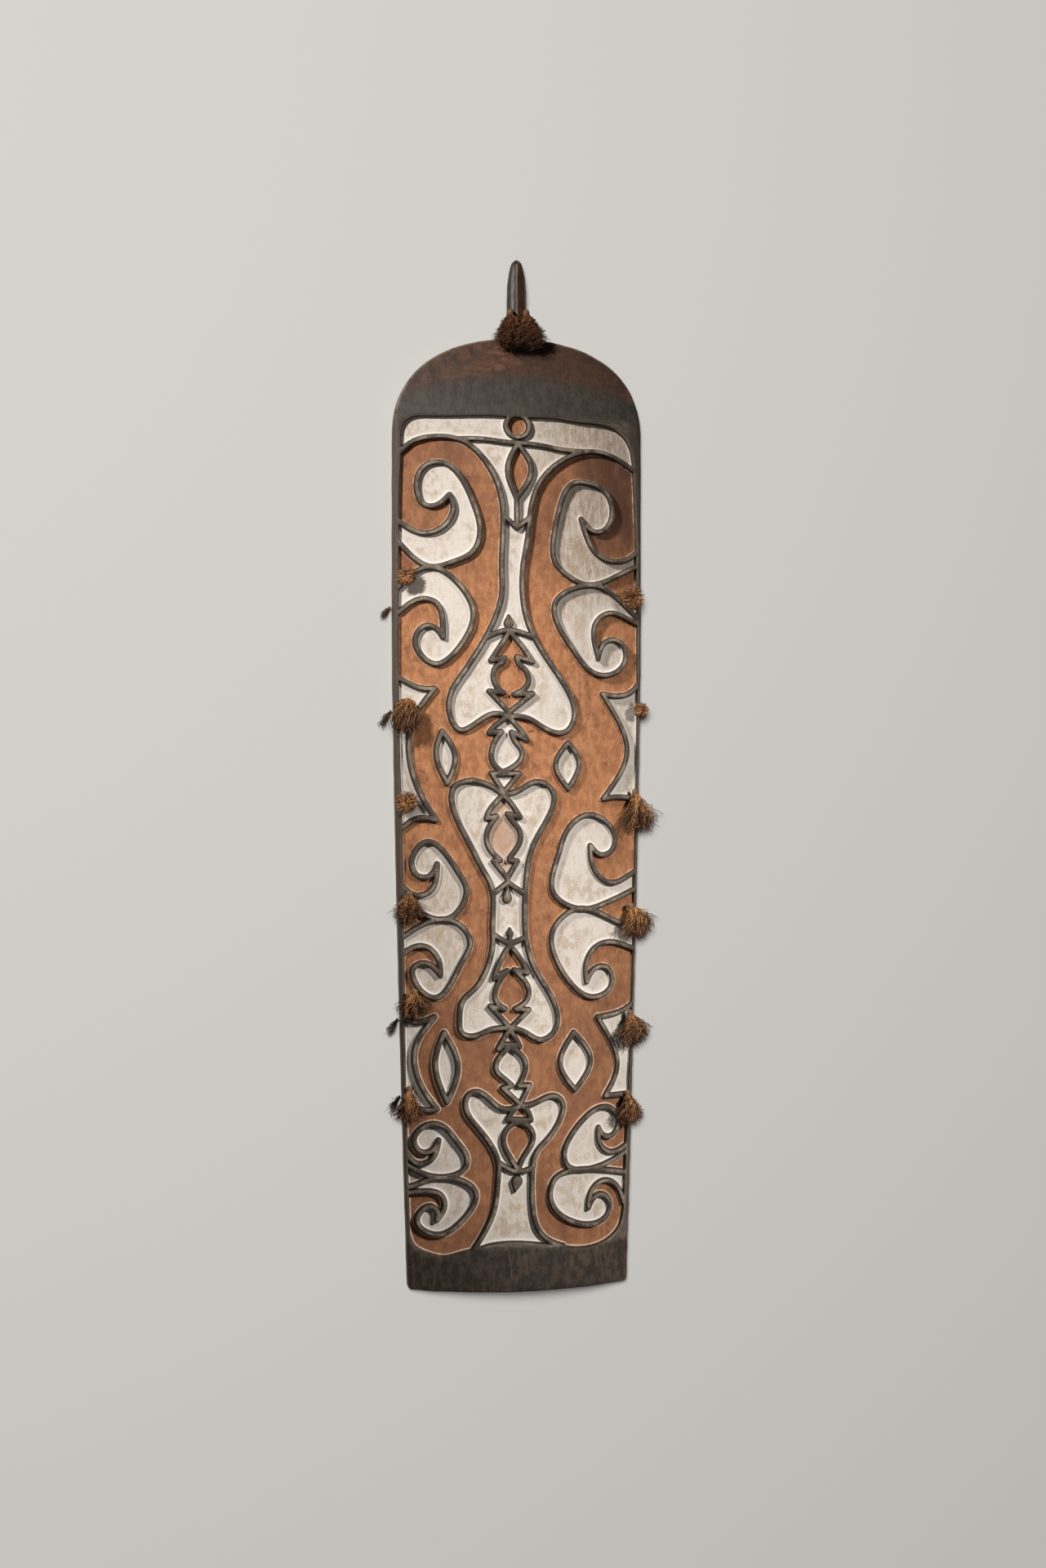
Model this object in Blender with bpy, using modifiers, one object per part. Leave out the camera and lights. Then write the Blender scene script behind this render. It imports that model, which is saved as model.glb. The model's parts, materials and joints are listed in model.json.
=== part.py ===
"""A tall carved plank shield, lying on its back.

X runs across the board, Y along it with the spur at +Y, and Z up out of the carved face. The origin
is under the middle of the whole length, on the surface that the board's two long edges rest on.
The pattern is given in millimetres from the centre line and from mid length, as a carver marks it out.
"""

import math
from dataclasses import dataclass

import bmesh
import bpy
import numpy as np
from mathutils import Matrix, Vector
from mathutils.geometry import delaunay_2d_cdt

MM = 0.001

# The board.
FOOT_Y = -0.935
TIP_Y = 0.935
DOME_TOP_Y = 0.790
SHOULDER_Y = 0.600
HALF_WIDTH = 0.231
FOOT_HALF_WIDTH = 0.2035
TAPER_FROM_Y = 0.25
TAPER_POWER = 1.3
DOME_POWERS = (2.2, 2.6)
THICKNESS = 0.024
CROWN = 0.058
CROWN_AT_DOME = 0.014
CROWN_FALLS_Y = (0.50, 0.80)
EDGE_LAND = 0.008
FOOT_SHARES = (-0.72, -0.45, -0.15, 0.15, 0.45, 0.72)
SIDE_POINTS = 26
ARCH_POINTS = 11
BACK_ROWS = 19
BACK_END_Y = 0.70
BACK_SHARES = (-0.78, -0.42, 0, 0.42, 0.78)

# The carving.
RELIEF_DEPTH = 0.0085
RIDGE_HALF_WIDTH = 0.0038
FLANK_RUN = 0.0030
CURVE_STEP = 0.006
PLAN_STEP = 0.003
PLAN_TOLERANCE = 0.0016
SUPPORT_STEP = (0.060, 0.090)
SUPPORT_CLEARANCE = 0.010

# The grip on the back.
GRIP_LENGTH = 0.220
GRIP_WIDTH = 0.034
GRIP_GAP_LENGTH = 0.124
GRIP_LOW_Z = 0.004
GRIP_BAR_THICKNESS = 0.024
GRIP_ROOT_Z = 0.066
GRIP_ROUNDING = 0.004
# Half the grip's outline below its root: distance in from its end, and height over its lowest face.
GRIP_HEEL = ((0.048, 0.001), (0.026, 0.010), (0.010, 0.032))
# Half the finger gap's outline: distance in from the gap's end, and height over the bar.
GRIP_GAP_CORNER = ((0, 0.018), (0.010, 0.004), (0.026, 0))

# The spur.
SPUR_X = -0.004
SPUR_Z = 0.0265
SPUR_FLATNESS = 0.80
SPUR_SIDES = 14
SPUR_PROFILE = ((0.745, 0.0120), (0.790, 0.0182), (0.822, 0.0178), (0.866, 0.0170), (0.900, 0.0146),
                (0.920, 0.0112), (0.930, 0.0070), (TIP_Y, 0.0020))

# The tassels.
CORD_RADIUS = 0.0018
HOLE_RADIUS = 0.0026
HOLE_SIDES = 6
HOLE_CUT_LENGTH = 0.06
MOUTH_DEPTH = 0.0015
KNOT_RADIUS = 0.0036
KNOT_CLEARANCE = 0.0025
TASSEL_LIFT = 0.0012
CONTACT_GAP = 0.0004

# Sections of a tassel from its head to its tip: share of its length, then half width and thickness at the
# bound head in metres, then the same as shares of the whole fan's spread and thickness below the binding.
HEAD_SECTIONS = ((0.00, 0.0030, 0.0040), (0.12, 0.0054, 0.0090), (0.27, 0.0040, 0.0070))
FAN_SECTIONS = ((0.60, 0.38, 1.0), (0.88, 0.50, 0.95), (1.00, 0.40, 0.5))
FAN_SIDES = 6
# Sections of a spur bundle: share of its length, half width and thickness.
BUNDLE_SECTIONS = ((0.00, 0.0030, 0.004), (0.08, 0.0058, 0.010), (0.20, 0.0056, 0.011),
                   (0.30, 0.0085, 0.014), (0.55, 0.0185, 0.019), (0.85, 0.0215, 0.016),
                   (1.00, 0.0150, 0.008))
BUNDLE_LENGTH = 0.074
BUNDLE_SIDES = 8

# Colour and roughness.
WOOD_LOOK = ((0.27, 0.15, 0.09), 0.75)
FIBRE_LOOK = ((0.16, 0.09, 0.045), 0.90)


@dataclass(frozen=True)
class Scroll:
    """A comma-shaped field: the ridge round its back to the cusp, and the ridge from the cusp to the rim."""
    back: tuple
    hollow: tuple


@dataclass(frozen=True)
class Figure:
    """A stylised figure, drawn as single ridges: its barbs and toes straight, its roof and body curved."""
    straight: tuple
    curved: tuple


SCROLLS = (
    Scroll(back=((-221, 418), (-166, 372), (-125, 380), (-91, 398), (-78, 434), (-87, 478), (-128, 551),
                 (-157, 560), (-184, 542), (-176, 484), (-153, 483), (-132, 501)),
           hollow=((-132, 501), (-125, 478), (-139, 447), (-172, 432), (-198, 439), (-221, 456))),
    Scroll(back=((-221, 334), (-166, 371), (-101, 320), (-90, 282), (-107, 237), (-155, 196), (-180, 211),
                 (-191, 242), (-174, 265), (-155, 260), (-143, 244)),
           hollow=((-143, 244), (-144, 278), (-153, 304), (-175, 314), (-197, 308), (-219, 290))),
    Scroll(back=((220, 379), (195, 368), (127, 342), (88, 354), (59, 382), (62, 455), (92, 524), (122, 527),
                 (153, 516), (170, 487), (160, 448), (135, 439), (109, 461)),
           hollow=((109, 461), (135, 404), (165, 388), (199, 391), (220, 404))),
    Scroll(back=((224, 285), (207, 299), (156, 336), (124, 341), (64, 315), (58, 287), (98, 217),
    (127, 186), (155, 178),
                 (189, 192), (199, 220), (182, 242), (156, 238), (143, 209)),
           hollow=((143, 209), (138, 273), (165, 292), (192, 288), (222, 275))),
    Scroll(back=((-211, -220), (-187, -248), (-133, -262), (-102, -214), (-115, -181), (-169, -124),
                 (-191, -142), (-197, -167), (-186, -186), (-166, -186), (-153, -164)),
           hollow=((-153, -164), (-163, -211), (-183, -221), (-200, -217), (-211, -207))),
    Scroll(back=((-215, -299), (-163, -267), (-128, -266), (-101, -288), (-96, -310), (-111, -343),
                 (-154, -405), (-178, -396), (-194, -370), (-194, -353), (-174, -343), (-147, -365)),
           hollow=((-147, -365), (-150, -339), (-169, -315), (-188, -313), (-213, -328))),
    Scroll(back=((218, -214), (145, -242), (108, -247), (55, -215), (65, -150), (81, -106), (126, -76),
                 (177, -116), (168, -144), (147, -149), (127, -132)),
           hollow=((127, -132), (130, -163), (148, -191), (173, -201), (197, -193), (220, -181))),
    Scroll(back=((222, -285), (191, -276), (124, -248), (92, -249), (65, -269), (52, -300), (108, -399),
                 (139, -408), (164, -397), (172, -377), (160, -355), (137, -356), (120, -380)),
           hollow=((120, -380), (118, -354), (132, -322), (162, -309), (191, -314), (220, -325))),
    Scroll(back=((-204, -709), (-158, -728), (-105, -712), (-102, -690), (-118, -665), (-140, -639),
                 (-161, -633), (-185, -647), (-192, -668), (-178, -685), (-160, -679), (-150, -662)),
           hollow=((-150, -662), (-156, -687), (-171, -704), (-189, -705), (-204, -691))),
    Scroll(back=((-207, -750), (-186, -743), (-157, -730), (-100, -739), (-85, -758), (-115, -812),
                 (-147, -832), (-172, -828), (-187, -808), (-164, -782), (-153, -790), (-153, -806)),
           hollow=((-153, -806), (-140, -782), (-147, -760), (-190, -757), (-207, -761))),
    Scroll(back=((204, -695), (143, -718), (83, -712), (77, -687), (89, -659), (143, -612), (171, -615),
                 (185, -640), (171, -664), (153, -661), (144, -647)),
           hollow=((144, -647), (146, -674), (165, -693), (189, -691), (206, -681))),
    Scroll(back=((204, -735), (91, -721), (59, -734), (50, -764), (66, -797), (140, -821), (165, -804),
                 (166, -782), (148, -769), (135, -774), (124, -792)),
           hollow=((124, -792), (126, -770), (140, -750), (161, -745), (184, -760), (196, -789))),
)

FIGURES = (
    Figure(straight=(((-26, 254), (-40, 231), (-59, 202), (-34, 207)),
                     ((-23, 252), (-3, 228), (17, 200), (-12, 209)),
                     ((-36, 144), (-62, 147), (-26, 109)), ((-17, 141), (17, 143), (-26, 109))),
           curved=(((-34, 207), (-37, 199), (-47, 193), (-54, 180), (-53, 165), (-46, 152), (-36, 144)),
                   ((-12, 209), (-9, 197), (2, 187), (9, 173), (8, 160), (0, 150), (-17, 141)))),
    Figure(straight=(((-62, 72), (-40, 74)), ((7, 59), (-22, 73)), ((-36, -2), (-58, -1), (-36, -35)),
                     ((-36, -2), (-7, -1), (-36, -35))),
           curved=(((-29, 102), (-43, 91), (-54, 82), (-62, 72)),
                   ((-29, 102), (-16, 89), (-5, 76), (7, 59)),
                   ((-40, 74), (-49, 61), (-57, 42), (-57, 24), (-50, 11), (-38, 2)),
                   ((-22, 73), (-17, 59), (-8, 48), (-2, 34), (-8, 20), (-20, 10), (-36, 2)))),
    Figure(straight=(((-67, -82), (-49, -78)), ((-6, -80), (-29, -74)),
                     ((-42, -157), (-54, -159), (-29, -190)), ((-25, -157), (-11, -159), (-29, -190))),
           curved=(((-38, -40), (-49, -52), (-60, -66), (-67, -82)),
                   ((-38, -40), (-25, -52), (-17, -63), (-6, -80)),
                   ((-49, -78), (-58, -91), (-66, -110), (-65, -128), (-55, -145), (-42, -157)),
                   ((-29, -74), (-19, -88), (-8, -102), (-5, -119), (-11, -134), (-25, -153)))),
    Figure(straight=(((-53, -370), (-38, -361), (-29, -356)), ((8, -360), (-17, -355)),
                     ((-33, -425), (-60, -420), (-24, -460)), ((-15, -425), (10, -427), (-24, -460))),
           curved=(((-25, -310), (-39, -333), (-47, -351), (-53, -370)),
                   ((-25, -310), (-7, -333), (2, -348), (8, -360)),
                   ((-29, -356), (-40, -370), (-50, -389), (-51, -407), (-44, -418), (-33, -425)),
                   ((-17, -355), (-3, -369), (8, -385), (9, -403), (0, -416), (-15, -425)))),
    Figure(straight=(((-21, -563), (-38, -567), (-6, -597)), ((-9, -563), (11, -563), (-6, -597))),
           curved=(((-26, -462), (-36, -479), (-46, -497)), ((-26, -462), (-14, -479), (-7, -493)),
                   ((-46, -497), (-38, -491), (-24, -489), (-7, -493)),
                   ((-25, -493), (-39, -506), (-49, -522), (-49, -536), (-38, -548), (-21, -563)),
                   ((-25, -493), (-8, -505), (3, -521), (3, -537), (-2, -550), (-9, -563)))),
    Figure(straight=(((-29, -624), (14, -626)),),
           curved=(((-6, -598), (-20, -610), (-29, -624)), ((-6, -598), (8, -610), (14, -626)),
                   ((-9, -628), (-25, -636), (-36, -654), (-34, -674), (-23, -695), (-10, -716)),
                   ((-9, -628), (8, -636), (18, -654), (13, -673), (1, -691), (-10, -716)),
                   ((-45, -701), (-28, -712), (-11, -718), (6, -716), (19, -708)))),
)

# The winding ridges that part the red ground from the white middle column, from the shield's top down.
COLUMN_EDGES = (
    ((-218, 580), (-194, 599), (-128, 605), (-94, 590), (-44, 512), (-38, 413), (-39, 361), (-41, 310),
     (-111, 175), (-129, 144), (-131, 105), (-113, 77), (-59, 105), (-28, 102)),
    ((213, 558), (178, 577), (123, 585), (28, 520), (8, 424), (0, 377), (6, 278), (58, 186), (96, 103),
     (78, 74), (42, 79), (9, 98), (-28, 102)),
    ((-36, -40), (-61, -23), (-95, -14), (-124, -27), (-120, -80), (-95, -131), (-75, -171), (-57, -208),
     (-56, -276), (-56, -313), (-86, -387), (-108, -410), (-114, -442), (-109, -469), (-86, -473),
     (-59, -462), (-26, -459)),
    ((-36, -40), (-9, -32), (24, -16), (52, -30), (56, -57), (20, -127), (4, -205), (5, -302), (20, -352),
     (45, -393), (62, -431), (59, -465), (32, -482), (2, -467), (-26, -459)),
    ((-6, -600), (-40, -604), (-82, -574), (-100, -582), (-102, -608), (-83, -637), (-47, -695), (-46, -734),
     (-53, -787), (-88, -857)),
    ((-6, -600), (20, -596), (56, -584), (73, -597), (69, -626), (44, -662), (23, -686), (16, -726),
     (17, -784), (28, -825), (49, -846), (75, -857)),
)

# White panels that bite into the red ground from the rims, each with two tips.
BITES = (
    (((-221, 173), (-183, 153), (-158, 152)), ((-158, 152), (-198, 84), (-190, -19), (-155, -85)),
     ((-155, -85), (-187, -82), (-214, -101))),
    (((226, 164), (209, 148), (182, 141), (151, 144)),
     ((151, 144), (200, 59), (200, 25), (177, -17), (153, -47)),
     ((153, -47), (190, -44), (227, -49))),
    (((-212, -442), (-192, -450), (-157, -440)), ((-157, -440), (-191, -498), (-181, -564), (-153, -606)),
     ((-153, -606), (-175, -608), (-210, -598))),
    (((223, -418), (196, -435), (142, -445)),
     ((142, -445), (164, -480), (181, -517), (181, -547), (158, -590)),
     ((158, -590), (183, -590), (216, -589))),
)

# Almond-shaped fields in the red ground: top tip, left side, bottom tip, right side.
ALMONDS = (
    ((-145, 75), (-155, 36), (-136, -19), (-122, 30)),
    ((84, 55), (60, 15), (84, -29), (105, 17)),
    ((-141, -468), (-156, -524), (-136, -593), (-117, -528)),
    ((95, -471), (69, -526), (98, -575), (128, -522)),
    ((-9, 594), (-28, 548), (-12, 495), (15, 548)),
)

BAR_FOOT = ((-114, 602), (-75, 602), (-31, 597), (29, 593), (73, 586), (123, 585))
ARCH = ((-68, 243), (-48, 252), (-27, 257), (-8, 254), (19, 244))
CHEVRONS = (((-34, 461), (-12, 441), (9, 458)), ((-54, -217), (-29, -197), (3, -219)),
            ((-53, -292), (-25, -309), (2, -297)))
STEMS = (((-12, 495), (-12, 442)), ((-29, -189), (-29, -198)), ((-25, -294), (-25, -308)))
RING_CENTRE = (-8, 627)
RING_RADIUS = 21
RING_POINTS = 20
# Small drops: tip, middle of the round end, and its radius.
DROPS = (((-27, 286), (-27, 269), 8.0), ((-29, -200), (-30, -226), 8.0), ((-25, -278), (-25, -290), 6.0),
         ((-16, -756), (-12, -735), 9.5))

# The edge of the sunk panel: left rim upwards, the top bar, right rim downwards, then the foot's arcs.
PANEL_EDGE = (
    ((-200, -833), (-205, -640), (-209, -447), (-214, -101), (-219, 68), (-220, 340), (-219, 500),
     (-216, 600)),
    ((-216, 600), (-213, 628), (-200, 641), (-168, 644), (-117, 644), (-59, 645), (19, 643), (62, 643),
     (108, 638), (157, 635), (189, 621), (206, 600), (214, 558)),
    ((214, 558), (219, 446), (223, 70), (220, -80), (212, -441), (203, -640), (196, -789)),
    ((196, -789), (184, -835), (131, -861), (73, -857)),
    ((73, -857), (29, -848), (-54, -846), (-88, -857)),
    ((-88, -857), (-115, -864), (-140, -871), (-168, -866), (-190, -855), (-200, -833)),
)


@dataclass(frozen=True)
class Tassel:
    """A fibre tassel: where its bound head lies, how long and wide it fans, and which way it points."""
    name: str
    head: tuple
    length: float
    spread: float
    lean_degrees: float


# Lean is measured from straight down the board, towards +X.
TASSELS = (
    Tassel("tassel_left_1", (-203, 368), 33, 34, 0), Tassel("tassel_left_2", (-203, 135), 68, 50, 2),
    Tassel("tassel_left_3", (-203, -34), 40, 34, 0), Tassel("tassel_left_4", (-200, -212), 60, 42, 4),
    Tassel("tassel_left_5", (-192, -388), 58, 46, 6), Tassel("tassel_left_6", (-200, -564), 70, 42, 4),
    Tassel("tassel_right_1", (203, 341), 45, 50, 0), Tassel("tassel_right_2", (219, 128), 26, 28, 0),
    Tassel("tassel_right_3", (212, -28), 86, 66, 2), Tassel("tassel_right_4", (202, -238), 72, 66, 20),
    Tassel("tassel_right_5", (202, -434), 70, 60, 4), Tassel("tassel_right_6", (198, -581), 68, 50, 2),
)
# Tufts out of the left side face: distance along the board.
EDGE_TUFTS = (("edge_tuft_1", 296, 26), ("edge_tuft_2", 108, 38), ("edge_tuft_3", -450, 36),
              ("edge_tuft_4", -590, 36))
TUFT_SOCKET_DEPTH = 0.012
TUFT_SPREAD = 0.019
TUFT_THICKNESS = 0.008


# ---------------------------------------------------------------- shapes of the board

def half_width(y):
    """Half the board's width at y, without the rounding of the dome."""
    drop = np.clip((TAPER_FROM_Y - y) / (TAPER_FROM_Y - FOOT_Y), 0, 1) ** TAPER_POWER
    return HALF_WIDTH - (HALF_WIDTH - FOOT_HALF_WIDTH) * drop


def crown(y):
    """How far the middle of the board bows up above its edges at y."""
    low, high = CROWN_FALLS_Y
    t = np.clip((y - low) / (high - low), 0, 1)
    return CROWN + (CROWN_AT_DOME - CROWN) * t * t * (3 - 2 * t)


def face_z(x, y):
    return THICKNESS + crown(y) * (1 - (x / half_width(y)) ** 2)


def back_z(x, y):
    return np.maximum(crown(y) * (1 - (x / (half_width(y) - EDGE_LAND)) ** 2), 0)


def slope(x, y):
    """The face's rise for each metre towards +X."""
    return -2 * crown(y) * x / half_width(y) ** 2


def outline():
    """The board's plan, counter-clockwise from the foot's left corner."""
    land = FOOT_HALF_WIDTH - EDGE_LAND
    foot_x = np.concatenate([(-FOOT_HALF_WIDTH, -land), FOOT_HALF_WIDTH * np.array(FOOT_SHARES), (land,)])
    foot = [(x, FOOT_Y) for x in foot_x]
    right = [(half_width(y), y) for y in np.linspace(FOOT_Y, SHOULDER_Y, SIDE_POINTS)]
    across, upward = DOME_POWERS
    height = DOME_TOP_Y - SHOULDER_Y
    turns = np.linspace(0, math.pi / 2, ARCH_POINTS + 1)[1:]
    arch = [(HALF_WIDTH * max(math.cos(t), 0) ** (2 / across),
             SHOULDER_Y + height * math.sin(t) ** (2 / upward)) for t in turns]
    left = [(-x, y) for x, y in (right + arch[:-1])[::-1]]
    return np.array(foot + right + arch + left[:-1])


def smooth_curve(points, step=CURVE_STEP / MM):
    """Points along the natural cubic spline through the given ones, in metres."""
    knots = np.array(points, float)
    if len(knots) < 3:
        return knots * MM
    spans = np.linalg.norm(np.diff(knots, axis=0), axis=1)
    gaps = spans ** 0.75
    count = len(knots)
    matrix = np.eye(count)
    right = np.zeros((count, 2))
    for i in range(1, count - 1):
        matrix[i, i - 1:i + 2] = gaps[i - 1], 2 * (gaps[i - 1] + gaps[i]), gaps[i]
        right[i] = 6 * ((knots[i + 1] - knots[i]) / gaps[i] - (knots[i] - knots[i - 1]) / gaps[i - 1])
    bend = np.linalg.solve(matrix, right)
    pieces = []
    for i, gap in enumerate(gaps):
        u = np.linspace(0, gap, max(2, math.ceil(spans[i] / step)), endpoint=False)[:, None]
        pieces.append((bend[i] * (gap - u) ** 3 + bend[i + 1] * u ** 3) / (6 * gap)
                      + (knots[i] / gap - bend[i] * gap / 6) * (gap - u)
                      + (knots[i + 1] / gap - bend[i + 1] * gap / 6) * u)
    return np.vstack(pieces + [knots[-1:]]) * MM


# ---------------------------------------------------------------- the pattern

def figure_lines(figure):
    """The ridges of one figure, each a list of points in metres."""
    return [np.array(line) * MM for line in figure.straight] + [smooth_curve(line) for line in figure.curved]


def ridge_segments():
    """Every ridge as straight pieces: start, end and half the width of the ridge's top."""
    lines = []
    for scroll in SCROLLS:
        lines += [smooth_curve(scroll.back), smooth_curve(scroll.hollow)]
    lines += [smooth_curve(edge) for edge in COLUMN_EDGES]
    lines += [smooth_curve(line) for bite in BITES for line in bite]
    for top, left, bottom, right in ALMONDS:
        lines += [smooth_curve((top, left, bottom)), smooth_curve((top, right, bottom))]
    for figure in FIGURES:
        lines += figure_lines(figure)
    lines += [smooth_curve(BAR_FOOT), smooth_curve(ARCH)]
    lines += [np.array(line) * MM for line in CHEVRONS + STEMS]
    turns = np.linspace(0, 2 * math.pi, RING_POINTS + 1)
    lines.append((np.array(RING_CENTRE) + RING_RADIUS * np.stack([np.cos(turns), np.sin(turns)], 1)) * MM)
    pieces = [(a, b, RIDGE_HALF_WIDTH) for line in lines for a, b in zip(line[:-1], line[1:])]
    for tip, middle, radius in DROPS:
        steps = np.linspace(0, 1, 6)
        spine = [(np.array(tip) * (1 - t) + np.array(middle) * t) * MM for t in steps]
        pieces += [(p, p, radius * MM * t) for p, t in zip(spine[1:], steps[1:])]
    return pieces


def distance_to(points, start, end):
    along = end - start
    length2 = max(float(along @ along), 1e-12)
    t = np.clip((points - start) @ along / length2, 0, 1)
    return np.linalg.norm(points - start - t[:, None] * along, axis=1)


def panel_polygon():
    return np.vstack([smooth_curve(piece)[:-1] for piece in PANEL_EDGE])


def inside(points, polygon):
    """Which points lie inside the polygon, by counting the edges that a ray crosses."""
    x, y = points[:, 0], points[:, 1]
    odd = np.zeros(len(points), bool)
    for (ax, ay), (bx, by) in zip(polygon, np.roll(polygon, -1, axis=0)):
        crosses = (ay > y) != (by > y)
        rise = by - ay if by != ay else 1e-12
        odd ^= crosses & (x < (bx - ax) * (y - ay) / rise + ax)
    return odd


def distance_into_field(points):
    """How far each point is inside a sunk field: negative on a ridge's top, a rim, the dome or the foot."""
    reach = 0.060
    depth = np.full(len(points), reach)
    for start, end, half in ridge_segments():
        low, high = np.minimum(start, end) - reach, np.maximum(start, end) + reach
        near = np.flatnonzero(((points > low) & (points < high)).all(axis=1))
        depth[near] = np.minimum(depth[near], distance_to(points[near], start, end) - half)
    polygon = panel_polygon()
    border = np.full(len(points), reach)
    for start, end in zip(polygon, np.roll(polygon, -1, axis=0)):
        low, high = np.minimum(start, end) - reach, np.maximum(start, end) + reach
        near = np.flatnonzero(((points > low) & (points < high)).all(axis=1))
        border[near] = np.minimum(border[near], distance_to(points[near], start, end))
    border[~inside(points, polygon)] *= -1
    return np.minimum(depth, border)


# ---------------------------------------------------------------- the relief as a surface

def plan_contours(levels):
    """Closed loops in plan where the distance into a field equals each level."""
    size_x, size_y = 2 * HALF_WIDTH, DOME_TOP_Y - FOOT_Y
    cells = (round(size_x / PLAN_STEP), round(size_y / PLAN_STEP))
    mesh = bmesh.new()
    place = Matrix.Translation((0, (DOME_TOP_Y + FOOT_Y) / 2, 0))
    scale = Matrix.Diagonal((size_x / 2, size_y / 2, 1, 1))
    bmesh.ops.create_grid(mesh, x_segments=cells[0], y_segments=cells[1], size=1, matrix=place @ scale)
    bmesh.ops.triangulate(mesh, faces=mesh.faces)
    points = np.array([v.co.xy for v in mesh.verts])
    for vertex, depth in zip(mesh.verts, distance_into_field(points)):
        vertex.co.z = depth
    loops = []
    for level in levels:
        cut = mesh.copy()
        result = bmesh.ops.bisect_plane(cut, geom=cut.verts[:] + cut.edges[:] + cut.faces[:], dist=1e-7,
                                        plane_co=(0, 0, level), plane_no=(0, 0, 1))
        edges = [e for e in result["geom_cut"] if isinstance(e, bmesh.types.BMEdge)]
        loops.append(chain(edges))
        cut.free()
    mesh.free()
    return loops


def chain(edges):
    """Loops of plan points from loose mesh edges."""
    waiting = dict.fromkeys(edges)
    loops = []
    while waiting:
        edge = next(iter(waiting))
        del waiting[edge]
        first, vertex = edge.verts
        loop = [first.co.xy[:], vertex.co.xy[:]]
        while vertex != first:
            following = [e for e in vertex.link_edges if e in waiting]
            if not following:
                break
            edge = following[0]
            del waiting[edge]
            vertex = edge.other_vert(vertex)
            loop.append(vertex.co.xy[:])
        if vertex == first and len(loop) > 8:
            loops.append(np.array(loop[:-1]))
    return loops


def simplify(loop, tolerance):
    """The fewest of a closed loop's points that keep every other within the tolerance of its edges."""
    far = int(np.argmax(np.linalg.norm(loop - loop[0], axis=1)))
    keep = {0, far}
    spans = [(0, far), (far, len(loop))]
    closed = np.vstack([loop, loop[:1]])
    while spans:
        low, high = spans.pop()
        if high - low < 2:
            continue
        away = distance_to(closed[low + 1:high], closed[low], closed[high])
        worst = int(np.argmax(away))
        if away[worst] > tolerance:
            middle = low + 1 + worst
            keep.add(middle)
            spans += [(low, middle), (middle, high)]
    return loop[sorted(keep)]


def support_points(step_x, step_y):
    """A sparse staggered grid that carries the board's curve across wide flat places."""
    rows = np.arange(FOOT_Y + step_y / 2, DOME_TOP_Y, step_y)
    grid = [(x + (step_x / 2 if row % 2 else 0), y)
            for row, y in enumerate(rows) for x in np.arange(-HALF_WIDTH, HALF_WIDTH, step_x)]
    points = np.array(grid)
    border = outline()
    keep = inside(points, border)
    for start, end in zip(border, np.roll(border, -1, axis=0)):
        keep &= distance_to(points, start, end) > SUPPORT_CLEARANCE
    return points[keep]


def triangulate(loops, loose, lines=()):
    """Plan triangles inside the first loop, keeping every loop's and line's edges, and each point's source."""
    points = np.vstack([*loops, *lines, loose])
    edges, start = [], 0
    for loop in loops:
        edges += [(start + i, start + (i + 1) % len(loop)) for i in range(len(loop))]
        start += len(loop)
    for line in lines:
        edges += [(start + i, start + i + 1) for i in range(len(line) - 1)]
        start += len(line)
    out = delaunay_2d_cdt([Vector(p) for p in points], edges, [], 1, 1e-7)
    return out[0], out[2], out[3]


def relief_faces(mesh):
    """Adds the carved face to the mesh, and returns its outline's vertices by plan position."""
    shoulders, feet = plan_contours((0.0, FLANK_RUN))
    border = outline()
    loops, drops = [border], [np.zeros(len(border))]
    for group, drop in ((shoulders, 0.0), (feet, RELIEF_DEPTH)):
        for loop in group:
            loops.append(simplify(loop, PLAN_TOLERANCE))
            drops.append(np.full(len(loops[-1]), drop))
    loose = support_points(*SUPPORT_STEP)
    depth = distance_into_field(loose)
    clear = (depth < -SUPPORT_CLEARANCE) | (depth > FLANK_RUN + SUPPORT_CLEARANCE)
    loose, depth = loose[clear], depth[clear]
    drops.append(np.where(depth > 0, RELIEF_DEPTH, 0.0))
    points, faces, sources = triangulate(loops, loose)
    levels = np.concatenate(drops)
    made = [mesh.verts.new((p.x, p.y, face_z(p.x, p.y) - (levels[source[0]] if source else 0.0)))
            for p, source in zip(points, sources)]
    for face in faces:
        mesh.faces.new([made[i] for i in face])
    return {source[0]: vertex for vertex, source in zip(made, sources) if source and source[0] < len(border)}


def back_faces(mesh):
    """Adds the hollowed back to the mesh, and returns its outline's vertices by plan position."""
    border = outline()
    rows = np.linspace(FOOT_Y, BACK_END_Y, BACK_ROWS + 1)[1:]
    land_rows = rows[rows < SHOULDER_Y + EDGE_LAND]
    lands = [np.array([(sign * (half_width(y) - EDGE_LAND), y) for y in land_rows]) for sign in (-1, 1)]
    loose = np.array([((half_width(y) - EDGE_LAND) * share, y) for y in rows for share in BACK_SHARES])
    points, faces, sources = triangulate([border], loose[inside(loose, border)], lands)
    made = [mesh.verts.new((p.x, p.y, back_z(p.x, p.y))) for p in points]
    for face in faces:
        mesh.faces.new([made[i] for i in reversed(face)])
    return {source[0]: vertex for vertex, source in zip(made, sources) if source and source[0] < len(border)}


def make_board():
    mesh = bmesh.new()
    top = relief_faces(mesh)
    bottom = back_faces(mesh)
    count = len(top)
    for i in range(count):
        j = (i + 1) % count
        mesh.faces.new((top[j], top[i], bottom[i], bottom[j]))
    bmesh.ops.triangulate(mesh, faces=mesh.faces)
    return object_from(mesh, "board", PARTS)


# ---------------------------------------------------------------- grip, spur and holes

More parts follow.
